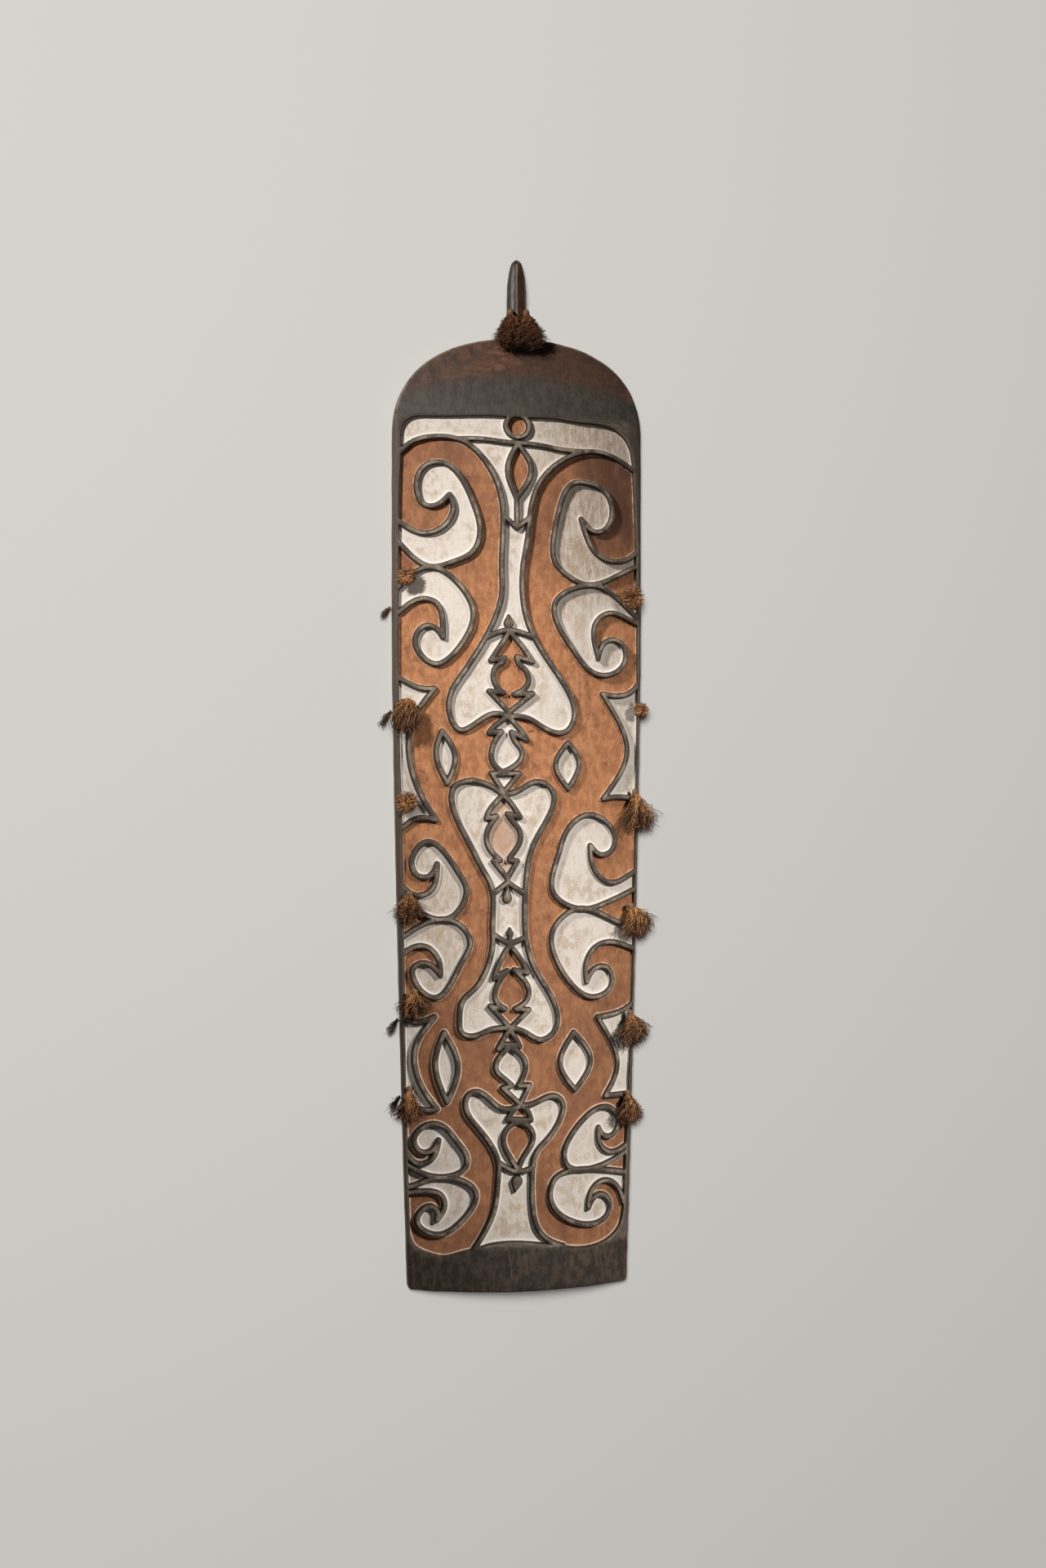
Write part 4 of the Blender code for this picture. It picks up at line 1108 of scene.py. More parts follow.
TASSELS = (
    Tassel("left_1", (-203, 368), 33, 34, 0, Tie.TUFT), Tassel("left_2", (-203, 135), 68, 50, 2, Tie.MOP),
    Tassel("left_3", (-203, -34), 40, 34, 0, Tie.TUFT), Tassel("left_4", (-200, -212), 60, 42, 4, Tie.KNOB),
    Tassel("left_5", (-192, -388), 58, 46, 6, Tie.KNOB), Tassel("left_6", (-200, -564), 70, 42, 4, Tie.NECK),
    Tassel("right_1", (203, 341), 45, 50, 0, Tie.TUFT), Tassel("right_2", (219, 128), 26, 28, 0, Tie.TUFT),
    Tassel("right_3", (212, -28), 86, 66, 2, Tie.NECK), Tassel("right_4", (202, -238), 72, 66, 20, Tie.KNOB),
    Tassel("right_5", (202, -434), 70, 60, 4, Tie.KNOB), Tassel("right_6", (198, -581), 68, 50, 2, Tie.NECK),
)
# Tufts pegged into the left side face: place along the board and length, in millimetres.
EDGE_TUFTS: tuple[Spot, ...] = ((296, 26), (108, 38), (-450, 36), (-590, 36))


@dataclass(frozen=True)
class CordHoles:
    """The holes that the tassels' cords go through, and the sockets of the edge tufts."""

    plank: Plank
    radius: float = 0.0026
    knot_radius: float = 0.0036
    knot_clearance: float = 0.0025
    socket_depth: float = 0.012
    bound_share: float = 0.12
    mouth_depth: float = 0.0015
    pin_length: float = 0.06
    pin_sides: int = 16

    def way(self, tassel: Tassel) -> tuple[Vector, Vector, Vector]:
        """Finds a cord's way through: in under its tassel's head, and out where the hollow leaves room.

        Args:
            tassel: The tassel.

        Returns:
            The hole's middle at the face, its middle at the back, and the direction between them.
        """
        plank, lean = self.plank, math.radians(tassel.lean_degrees)
        bound = self.bound_share * tassel.length
        x = (tassel.head[0] + bound * math.sin(lean)) * MM
        y = (tassel.head[1] - bound * math.cos(lean)) * MM
        room = 2 * self.knot_radius + self.knot_clearance
        reach = (plank.half_width_at(y) - plank.edge_land) * math.sqrt(1 - room / plank.crown(y))
        inner = math.copysign(min(abs(x), reach), x)
        mouth = Vector((x, y, plank.face_z(x, y) - self.mouth_depth))
        back = Vector((inner, y, plank.back_z(inner, y)))
        return mouth, back, (back - mouth).normalized()

    def socket(self, y: float) -> Vector:
        """Gives the middle of the left side face at y."""
        return Vector((-self.plank.half_width_at(y), y, self.plank.thickness / 2))

    def build(self) -> Object:
        """Makes the pins that cut the holes."""
        pins = []
        for tassel in TASSELS:
            mouth, back, way = self.way(tassel)
            turn = way.to_track_quat("Z", "Y").to_matrix().to_4x4()
            pins.append((Matrix.Translation((mouth + back) / 2) @ turn, self.pin_length))
        for y, _ in EDGE_TUFTS:
            place = Matrix.Translation(self.socket(y * MM)) @ Matrix.Rotation(math.pi / 2, 4, "Y")
            pins.append((place, 2 * self.socket_depth))
        mesh = bmesh.new()
        for place, length in pins:
            bmesh.ops.create_cone(mesh, cap_ends=True, segments=self.pin_sides, radius1=self.radius,
                                  radius2=self.radius, depth=length, matrix=place)
        data = bpy.data.meshes.new("cord_holes")
        mesh.to_mesh(data)
        mesh.free()
        return linked("cord_holes", data)


class CarvedBoard:
    """The shield's one piece of wood: the carved board with its grip and its spur."""

    # What counts as well away from a field or from the rim, in millimetres.
    far = 12.0

    def __init__(self, plank: Plank, relief: Relief, holes: CordHoles) -> None:
        """Takes what the board is made from.

        Args:
            plank: The board before it is carved.
            relief: The carved depth over its face.
            holes: The holes for the cords.
        """
        self.plank = plank
        self.relief = relief
        self.holes = holes
        self.spur = Spur()

    def build(self, face: Material, spur_finish: Material) -> Object:
        """Builds the piece and writes the attributes that its finishes read.

        Args:
            face: The finish of the board and its grip.
            spur_finish: The finish of the spur.

        Returns:
            The finished piece.
        """
        skin = BoardSkin(self.plank, self.relief)
        board = skin.build()
        spur = self.spur.build()
        board.data.materials.append(face)
        board.data.materials.append(spur_finish)
        self._combine(board, spur, "UNION", finish=1)
        self._combine(board, Grip().build(), "UNION")
        self._combine(board, self.holes.build(), "DIFFERENCE")
        self._mark(board, skin.rim)
        board.data.shade_smooth()
        return board

    @staticmethod
    def _combine(target: Object, other: Object, operation: str, finish: int = 0) -> None:
        """Combines two closed bodies and drops the second.

        Args:
            target: The body that is kept.
            other: The body that joins it or cuts it.
            operation: The Boolean operation.
            finish: Which of the target's finishes the second body's faces take.
        """
        for material in target.data.materials:
            other.data.materials.append(material)
        other.data.polygons.foreach_set("material_index", [finish] * len(other.data.polygons))
        modifier = target.modifiers.new("combine", "BOOLEAN")
        modifier.operation = operation
        modifier.solver = "MANIFOLD"
        modifier.object = other
        take_mesh(target, evaluated_mesh(target), target.data.name)
        bpy.data.objects.remove(other)

    def _mark(self, board: Object, rim: Grid) -> None:
        """Writes what the finishes read: each vertex's depth into a field, paint, height, and wear with a
        painted highlight.

        Args:
            board: The finished piece.
            rim: The distance from the outline.
        """
        count = len(board.data.vertices)
        flat = np.empty(count * 3)
        board.data.vertices.foreach_get("co", flat)
        points = flat.reshape(-1, 3)
        x, y, z = points.T
        plan = points[:, :2]
        back, front = self.plank.back_z(x, y), self.plank.face_z(x, y)
        raised = np.clip((z - back) / np.maximum(front - back - 0.010, 0.004), 0, 1)
        spur = self.spur
        away = np.hypot(x - spur.x, (z - spur.z) / spur.flatness)
        on_spur = (y > spur.profile[0][0]) & (away < spur.reach)
        carved = (raised > 0.9) & ~on_spur
        values = {
            "field_depth": np.where(carved, self.relief.depth.sample(plan) / MM, -self.far),
            "lime": self.relief.lime.sample(plan),
            "front": raised,
            "rim_distance": np.where(raised > 0.5, rim.sample(plan) / MM, self.far),
            "edge_wear_and_highlight": np.where(on_spur, spur.edge_wear_and_highlight(points), 0),
            "facet": np.where(on_spur, spur.facet_share(points), 0),
        }
        for name, value in values.items():
            layer = board.data.attributes.new(name, "FLOAT", "POINT")
            layer.data.foreach_set("value", value.astype(np.float32))


# ---------------------------------------------------------------- node trees

Color = tuple[float, float, float]
Socket = bpy.types.NodeSocket


class Number:
    """A number that a node tree works out, ready to stand in a formula."""

    def __init__(self, graph: NodeGraph, socket: Socket) -> None:
        """Takes the graph and the socket that gives the number."""
        self.graph = graph
        self.socket = socket

    def __add__(self, other: Value) -> Number:
        """Adds a number."""
        return self.graph.math("ADD", self, other)

    def __sub__(self, other: Value) -> Number:
        """Takes a number away."""
        return self.graph.math("SUBTRACT", self, other)

    def __rsub__(self, other: float) -> Number:
        """Takes this number away from another."""
        return self.graph.math("SUBTRACT", other, self)

    def __mul__(self, other: Value) -> Number:
        """Multiplies by a number."""
        return self.graph.math("MULTIPLY", self, other)

    def __truediv__(self, other: Value) -> Number:
        """Divides by a number."""
        return self.graph.math("DIVIDE", self, other)

    def __abs__(self) -> Number:
        """Drops the sign."""
        return self.graph.math("ABSOLUTE", self)

    def sin(self) -> Number:
        """Takes the sine."""
        return self.graph.math("SINE", self)

    def cos(self) -> Number:
        """Takes the cosine."""
        return self.graph.math("COSINE", self)

    def step(self, low: float, high: float) -> Number:
        """Rises smoothly from 0 to 1 as the number goes from low to high."""
        return self.graph.number("ShaderNodeMapRange", {"Value": self, "From Min": low, "From Max": high},
                                 interpolation_type="SMOOTHSTEP")

    def between(self, low: float, full: float, still: float, gone: float) -> Number:
        """Rises from 0 to 1 over the first two values, and falls again over the last two."""
        return self.step(low, full) * (1.0 - self.step(still, gone))


Value = Number | float
Inputs = dict[int | str, object]


class NodeGraph:
    """Adds nodes to a tree and joins them as they are made."""

    def __init__(self, tree: bpy.types.NodeTree) -> None:
        """Takes the tree to fill."""
        self.tree = tree

    def add(self, kind: str, inputs: Inputs | None = None, **settings: object) -> bpy.types.Node:
        """Adds a node.

        Args:
            kind: The node's type.
            inputs: What each input takes: another node's output, or a value.
            settings: The node's own properties.

        Returns:
            The new node.
        """
        node = self.tree.nodes.new(kind)
        for name, value in settings.items():
            setattr(node, name, value)
        for key, value in (inputs or {}).items():
            value = value.socket if isinstance(value, Number) else value
            if isinstance(value, Socket):
                self.tree.links.new(value, node.inputs[key])
            else:
                node.inputs[key].default_value = value
        return node

    def out(self, kind: str, inputs: Inputs | None = None, output: int | str = 0,
            **settings: object) -> Socket:
        """Adds a node and gives one of its outputs."""
        return self.add(kind, inputs, **settings).outputs[output]

    def number(self, kind: str, inputs: Inputs | None = None, output: int | str = 0,
               **settings: object) -> Number:
        """Adds a node and gives one of its outputs as a number."""
        return Number(self, self.out(kind, inputs, output, **settings))

    def math(self, operation: str, *values: Value) -> Number:
        """Combines numbers."""
        return self.number("ShaderNodeMath", dict(enumerate(values)), operation=operation)

    def vector(self, operation: str, *values: object) -> Socket:
        """Combines vectors."""
        return self.out("ShaderNodeVectorMath", dict(enumerate(values)), operation=operation)

    def scaled(self, vector: Socket, factor: Value) -> Socket:
        """Multiplies a vector by a number."""
        return self.out("ShaderNodeVectorMath", {0: vector, 3: factor}, operation="SCALE")

    def xyz(self, x: Value = 0.0, y: Value = 0.0, z: Value = 0.0) -> Socket:
        """Makes a vector of three numbers."""
        return self.out("ShaderNodeCombineXYZ", {0: x, 1: y, 2: z})

    def parts(self, vector: Socket) -> tuple[Number, ...]:
        """Splits a vector into its three numbers."""
        return tuple(Number(self, part) for part in self.add("ShaderNodeSeparateXYZ", {0: vector}).outputs)


# ---------------------------------------------------------------- finishes

class Shader(NodeGraph):
    """A material under construction."""

    def __init__(self, name: str) -> None:
        """Starts a material with an empty tree.

        Args:
            name: The material's name.
        """
        self.material = bpy.data.materials.new(name)
        self.material.use_nodes = True
        super().__init__(self.material.node_tree)
        self.tree.nodes.clear()
        self.place = self.out("ShaderNodeTexCoord", output="Object")

    def attribute(self, name: str) -> Number:
        """Reads a number that the mesh carries."""
        return self.number("ShaderNodeAttribute", output="Fac", attribute_name=name)

    def noise(self, scale: float, stretch: float = 1.0, detail: float = 4.0,
              roughness: float = 0.55, shift: float = 0.0) -> Number:
        """Makes a cloudy pattern.

        Args:
            scale: How many features there are to a metre across the board.
            stretch: How many times longer they are along it.
            detail: How many finer layers are added.
            roughness: How strong the finer layers are.
            shift: Moves the pattern, so that two of them differ.

        Returns:
            A value from 0 to 1.
        """
        place = self.out("ShaderNodeMapping", {
            "Vector": self.place, "Location": (shift, shift * 2, shift * 3), "Scale": (1, 1 / stretch, 1)})
        return self.noise_at(place, scale, detail, roughness)

    def noise_at(self, place: Socket, scale: float, detail: float, roughness: float) -> Number:
        """Reads a cloudy pattern at a place."""
        return self.number("ShaderNodeTexNoise", {"Vector": place, "Scale": scale, "Detail": detail,
                                                  "Roughness": roughness}, "Fac")

    def mix(self, factor: Value, first: Color | Socket, second: Color | Socket) -> Socket:
        """Mixes two colours."""
        return self.out("ShaderNodeMix", {0: factor, 6: self._opaque(first), 7: self._opaque(second)}, 2,
                        data_type="RGBA")

    def coated(self, color: Color | Socket,
               *coats: tuple[Number, float, float, Value, Color | Socket]) -> Socket:
        """Lays coats over a colour, one after another.

        Args:
            color: What lies underneath.
            coats: For each coat its pattern, the values between which it comes in, its cover and its colour.

        Returns:
            The colour under all its coats.
        """
        for pattern, low, high, cover, coat in coats:
            color = self.mix(pattern.step(low, high) * cover, color, coat)
        return color

    @staticmethod
    def _opaque(color: Color | Socket) -> Socket | tuple[float, ...]:
        """Adds full cover to a plain colour."""
        return (*color, 1.0) if isinstance(color, tuple) else color

    def finish(self, color: Color | Socket, roughness: Value, height: Number | None = None,
               depth: float = 0.0, specular: float = 0.5) -> Material:
        """Ends the material.

        Args:
            color: Its base colour.
            roughness: Its roughness.
            height: The bump pattern, from 0 to 1.
            depth: How deep the bump is, in metres.
            specular: The strength of its shine.

        Returns:
            The material.
        """
        inputs = {"Base Color": self._opaque(color), "Roughness": roughness, "Specular IOR Level": specular}
        if height is not None:
            inputs["Normal"] = self.out("ShaderNodeBump", {"Strength": 1.0, "Distance": depth,
                                                           "Height": height})
        self.add("ShaderNodeOutputMaterial", {"Surface": self.out("ShaderNodeBsdfPrincipled", inputs)})
        return self.material


@dataclass(frozen=True)
class Layers:
    """What the board's finish is built up from: its place, patterns and depth into a field in millimetres."""

    x: Number
    y: Number
    grain: Number
    streak: Number
    mottle: Number
    speck: Number
    cloud: Number
    depth: Number


@dataclass(frozen=True)
class CarvedFinish:
    """The board's finish: earth paint and lime in the fields, dark wood between them with painted shade on
    the ridges' edges and sides, bare wood behind.
    """

    ochre: Color = (0.485, 0.220, 0.100)
    ochre_deep: Color = (0.290, 0.114, 0.053)
    ochre_dark: Color = (0.135, 0.060, 0.036)
    ochre_pale: Color = (0.62, 0.345, 0.205)
    lime: Color = (0.68, 0.622, 0.562)
    lime_worn: Color = (0.50, 0.395, 0.295)
    lime_rubbed: Color = (0.36, 0.265, 0.185)
    lime_bright: Color = (0.78, 0.73, 0.675)
    chalk: Color = (0.74, 0.60, 0.48)
    ridge: Color = (0.165, 0.132, 0.100)
    ridge_dark: Color = (0.060, 0.046, 0.036)
    ridge_worn: Color = (0.36, 0.30, 0.235)
    # Near-black ridge sides: dark bare wood, darkened further as painted shade.
    flank_wood_and_shade: Color = (0.040, 0.029, 0.022)
    band: Color = (0.050, 0.043, 0.035)
    band_light: Color = (0.078, 0.066, 0.052)
    dome: Color = (0.128, 0.055, 0.031)
    dome_dark: Color = (0.050, 0.032, 0.023)
    dome_worn: Color = (0.270, 0.115, 0.060)
    dome_grey: Color = (0.062, 0.048, 0.037)
    foot: Color = (0.032, 0.025, 0.020)
    foot_light: Color = (0.064, 0.048, 0.036)
    foot_worn: Color = (0.135, 0.092, 0.060)
    rim: Color = (0.092, 0.066, 0.048)
    back: Color = (0.215, 0.130, 0.075)
    back_dark: Color = (0.110, 0.062, 0.036)

    def material(self) -> Material:
        """Builds the material."""
        shader = Shader("carved_wood")
        speck = shader.noise(520, detail=2, roughness=0.5, shift=7.0)
        x, y, _ = shader.parts(shader.place)
        on = Layers(x, y, grain=shader.noise(620, stretch=16, detail=3, roughness=0.6),
                    streak=shader.noise(230, stretch=11, detail=4, roughness=0.6, shift=3.0),
                    mottle=shader.noise(75, stretch=1.5, detail=6, roughness=0.68, shift=1.0),
                    cloud=shader.noise(13, stretch=1.7, detail=5, roughness=0.6, shift=9.0),
                    speck=speck, depth=shader.attribute("field_depth") + (speck - 0.5) * 1.1)
        lime = shader.attribute("lime")
        painted = shader.mix(lime, self._ochre(shader, on), self._lime(shader, on))
        low = y.step(-0.20, -0.60)
        width = (on.depth - 1.4) / (low * 0.9 + 1.0)
        whole = shader.math("MAXIMUM", on.mottle.step(0.40, 0.56), low * 0.75)
        line = width.between(0.1, 0.5, 0.9, 1.7) * (low * 0.25 + 0.60) * whole
        painted = shader.mix(line, painted, shader.mix(lime, self.chalk, self.lime_bright))
        face = shader.coated(self._wood(shader, on), (on.depth, 1.2, 1.8, 1.0, painted))
        bare = shader.coated(self.back_dark, (on.streak, 0.35, 0.65, 1.0, self.back),
                             (on.grain, 0.45, 0.7, 0.35, self.back_dark))
        front = shader.attribute("front") + (on.mottle - 0.5) * 0.5
        height = on.grain * 0.26 + (on.mottle * 0.50 + on.speck * 0.24)
        return shader.finish(shader.mix(front.step(0.25, 0.55), bare, face),
                             on.depth.step(1, 3) * 0.26 + 0.58, height, 1.9 * MM, specular=0.30)

    def _ochre(self, shader: Shader, on: Layers) -> Socket:
        """Paints the ochre fields, dirtier towards the foot and under the dome, and darker to the right there
        as painted shade.

        Args:
            shader: The material.
            on: What it is built up from.

        Returns:
            The colour.
        """
        x, y = on.x, on.y
        blots = shader.noise(45, stretch=1.8, detail=9, roughness=0.78, shift=5.0)
        color = shader.coated(self.ochre, (on.mottle, 0.60, 0.40, 0.62, self.ochre_deep),
                              (on.streak, 0.50, 0.68, 0.28, self.ochre_deep),
                              (blots, 0.52, 0.63, 0.58, self.ochre_dark),
                              (on.grain, 0.54, 0.72, 0.30, self.ochre_dark),
                              (on.speck, 0.54, 0.68, on.mottle.step(0.48, 0.60) * 0.50, self.ochre_pale))
        # Under the dome the ochre darkens overall and towards its edges, and most to the right: grime, with
        # painted shade where the bowed face turns from the upper lamp.
        side = abs(x).step(0.04, 0.13) * 0.24 + 0.42 + x.step(0.02, 0.12) * 0.32
        dirt_and_shade = y.step(0.02, -0.55) * 0.52 + y.step(0.28, 0.46) * side
        return shader.mix(dirt_and_shade * (on.cloud.step(0.62, 0.36) * 0.5 + 0.6), color, self.ochre_dark)

    def _lime(self, shader: Shader, on: Layers) -> Socket:
        """Paints the white fields: whiter at their margins, rubbed thin in the middle, most high right, where
        painted shade darkens them too.

        Args:
            shader: The material.
            on: What it is built up from.

        Returns:
            The colour.
        """
        x, y = on.x, on.y
        # High on the right the lime is rubbed to tan and darkened: wear, and painted shade where the bowed
        # face turns from the upper lamp.
        corner = x.step(-0.02, 0.10) * y.step(0.20, 0.38)
        left = x.step(-0.07, -0.13) * y.between(-0.46, -0.34, -0.06, 0.06) * 0.45
        middle = on.depth.step(3.6, 11.0)
        scratch = shader.noise(150, stretch=4, detail=8, roughness=0.8, shift=11.0)
        rubbed = (scratch.step(0.44, 0.56) * 0.55 + 0.35) * shader.math("MAXIMUM", corner, left) * 0.95
        patchy = on.cloud.step(0.36, 0.54) * middle * 0.85
        color = shader.coated(self.lime, (on.mottle, 0.45, 0.57, patchy, self.lime_worn),
                              (scratch, 0.52, 0.62, middle * 0.55, self.lime_worn),
                              (on.speck, 0.42, 0.30, 0.40, self.lime_rubbed),
                              (on.grain, 0.57, 0.70, 0.12, self.lime_rubbed))
        return shader.coated(shader.mix(rubbed, color, self.lime_rubbed),
                             (on.speck, 0.56, 0.68, middle * 0.45, self.lime_bright),
                             (on.depth, 7.0, 3.4, corner * -0.4 + 0.60, self.lime_bright))

    def _wood(self, shader: Shader, on: Layers) -> Socket:
        """Colours what stands between the fields: ridges, rims, foot and dome.

        Args:
            shader: The material.
            on: What it is built up from.

        Returns:
            The colour.
        """
        x, y = on.x, on.y
        cuts = shader.noise_at(shader.xyz(on.depth * 1.3, x * 32.0, y * 32.0), 1.0, 4.0, 0.65)
        # Paler patches along the ridge crests: wear, and a painted highlight where the rounded tops catch
        # light.
        worn_and_lit_crest = on.depth.between(-3.6, -2.6, -1.9, -1.0) * on.mottle.step(0.40, 0.58) * 0.75
        rim = shader.coated(self.ridge_dark, (on.streak, 0.42, 0.62, 0.8, self.rim))
        color = shader.coated(self.ridge_dark, (cuts, 0.42, 0.56, 1.0, self.ridge),
                              (on.grain, 0.52, 0.72, 0.4, self.ridge_dark),
                              (cuts, 0.46, 0.60, worn_and_lit_crest, self.ridge_worn),
                              # The ridge tops darken towards their edges and the ridges' sides go near black:
                              # painted shade over dark bare wood.
                              (on.depth, -1.7, -0.1, 0.70, self.flank_wood_and_shade),
                              (on.depth, -0.2, 0.6, 1.0, self.flank_wood_and_shade),
                              (abs(x), 0.198, 0.212, on.depth.step(-0.6, -2.4) * 0.85, rim))
        wavy = y + (on.mottle - 0.5) * 0.016
        return shader.coated(color, (wavy, -0.848, -0.862, 1.0, self._foot(shader, on)),
                             (wavy, 0.636, 0.650, on.depth.step(0.5, -2.0), self._dome(shader, on, wavy)))

    def _foot(self, shader: Shader, on: Layers) -> Socket:
        """Colours the dark band at the foot: sooty, with scuffs where the wood shows."""
        return shader.coated(self.foot, (on.mottle, 0.42, 0.60, 1.0, self.foot_light),
                             (on.cloud, 0.46, 0.62, on.mottle.step(0.36, 0.62) * 0.30, self.foot_worn),
                             (on.streak, 0.56, 0.66, on.cloud.step(0.42, 0.58) * 0.6, self.foot_worn),
                             (on.speck, 0.58, 0.72, 0.30, self.foot_worn),
                             (on.grain, 0.64, 0.74, 0.25, self.ridge_worn))

    def _dome(self, shader: Shader, on: Layers, wavy: Number) -> Socket:
        """Colours the dome: a smooth dark band, brushed red-brown above it that greys to the left, and a
        paler rim that is partly a painted highlight.

        Args:
            shader: The material.
            on: What it is built up from.
            wavy: The place along the board, a little uneven.

        Returns:
            The colour.
        """
        smear = shader.noise(42, stretch=0.30, detail=9, roughness=0.74, shift=13.0)
        band = shader.coated(self.band, (on.mottle, 0.44, 0.58, 0.8, self.band_light),
                             (on.speck, 0.60, 0.72, 0.40, self.ridge), (smear, 0.56, 0.66, 0.40, self.dome))
        red = shader.coated(self.dome, (smear, 0.44, 0.58, 0.75, self.dome_worn),
                            (on.x, 0.03, -0.13, 0.60, self.dome_grey),
                            (on.cloud, 0.42, 0.56, 0.70, self.dome_dark),
                            (on.mottle, 0.50, 0.62, 0.55, self.dome_dark),
                            (on.grain, 0.58, 0.72, 0.25, self.dome_dark))
        brushed = wavy + on.x * on.x * 0.75 + (smear - 0.5) * 0.060
        # Paler along the rim: wear, and a painted highlight where the rounded edge catches light.
        edge = on.mottle.step(0.36, 0.56) * 0.45
        return shader.coated(shader.mix(brushed.step(0.706, 0.732), band, red),
                             (shader.attribute("rim_distance"), 4.5, 1.0, edge, self.ridge_worn))


@dataclass(frozen=True)
class SpurFinish:
    """Dark polished wood, redder on the facet, and pale along its edges: rubbing, and a painted highlight."""

    dark: Color = (0.022, 0.016, 0.012)
    brown: Color = (0.060, 0.034, 0.020)
    facet: Color = (0.115, 0.052, 0.028)
    rubbed: Color = (0.46, 0.38, 0.30)

    def material(self) -> Material:
        """Builds the material."""
        shader = Shader("spur_wood")
        streak = shader.noise(300, stretch=14, detail=4)
        mottle = shader.noise(90, stretch=3, detail=4, shift=2.0)
        color = shader.coated(self.dark, (streak, 0.42, 0.66, 1.0, self.brown),
                              (mottle, 0.25, 0.60, shader.attribute("facet"), self.facet),
                              # Pale along the facet's edges: rubbing, and a painted highlight where the edges
                              # catch light.
                              (mottle, 0.28, 0.50, shader.attribute("edge_wear_and_highlight") * 0.85, self.rubbed))
        return shader.finish(color, 0.46, streak, 0.5 * MM)


@dataclass(frozen=True)
class FibreFinish:
    """Fibre that darkens from its binding to its tips, and is darker low in the bunch as painted shade."""

    name: str
    root: Color
    root_dark: Color
    tip: Color
    tip_dark: Color

    def material(self) -> Material:
        """Builds the material."""
        shader = Shader(self.name)
        # Strands low in the bunch take the darker colours: painted shade, on top of each strand's own tone.
        tone = shader.attribute("strand_tone") * 0.60 + shader.attribute("strand_height_shade") * 0.40
        root = shader.coated(self.root_dark, (tone, 0.42, 0.84, 1.0, self.root))
        tip = shader.coated(self.tip_dark, (tone, 0.42, 0.84, 1.0, self.tip))
        color = shader.coated(root, (shader.attribute("strand_along"), 0.15, 1.0, 1.0, tip))
        return shader.finish(color, 0.55, specular=0.25)


class Fibre(Enum):
    """The finishes of the tassels, of the small tufts, of the edge tufts and of the spur's bundles."""

    PALM = FibreFinish("palm_fibre", (0.56, 0.270, 0.098), (0.075, 0.034, 0.016), (0.36, 0.170, 0.078),
                       (0.024, 0.014, 0.010))
    GOLDEN = FibreFinish("golden_fibre", (0.66, 0.330, 0.135), (0.150, 0.066, 0.028), (0.62, 0.310, 0.140),
                         (0.115, 0.052, 0.024))
    WEATHERED = FibreFinish("weathered_fibre", (0.24, 0.135, 0.070), (0.060, 0.035, 0.022),
                            (0.17, 0.105, 0.062), (0.035, 0.024, 0.018))
    CURLED = FibreFinish("curled_fibre", (0.34, 0.140, 0.060), (0.050, 0.022, 0.012), (0.22, 0.095, 0.048),
                         (0.020, 0.012, 0.009))


@dataclass(frozen=True)
class BindingFinish:
    """The tan cord that binds a tassel's head and ties it on."""

    light: Color = (0.31, 0.165, 0.080)
    dark: Color = (0.085, 0.042, 0.022)

    def material(self) -> Material:
        """Builds the material."""
        shader = Shader("binding_cord")
        weave = shader.noise(700, detail=3)
        return shader.finish(shader.coated(self.dark, (weave, 0.42, 0.58, 1.0, self.light)), 0.8, weave,
                             0.8 * MM)


# ---------------------------------------------------------------- fibre

@dataclass(frozen=True)
class Spray:
    """How a bunch of fibre spreads from its bound head, in metres and radians.

    The strands lie in locks. They start a share of the way down the head (root) and up it (crown). A cap
    makes them leave sideways first and hang down after.
    """

    strands: int
    head_width: float
    root: float
    crown: float
    lift: float
    curl: float
    turns: float
    lock: int = 7
    samples: int = 18
    thickness: float = 0.00092
    loose: float = 0.40
    stray: float = 0.60
    droop: float = 0.30
    cap: float = 0.0
    length: float = 0.0
    fan: float = 0.0
    head_length: float = 0.0
    seed: int = 0


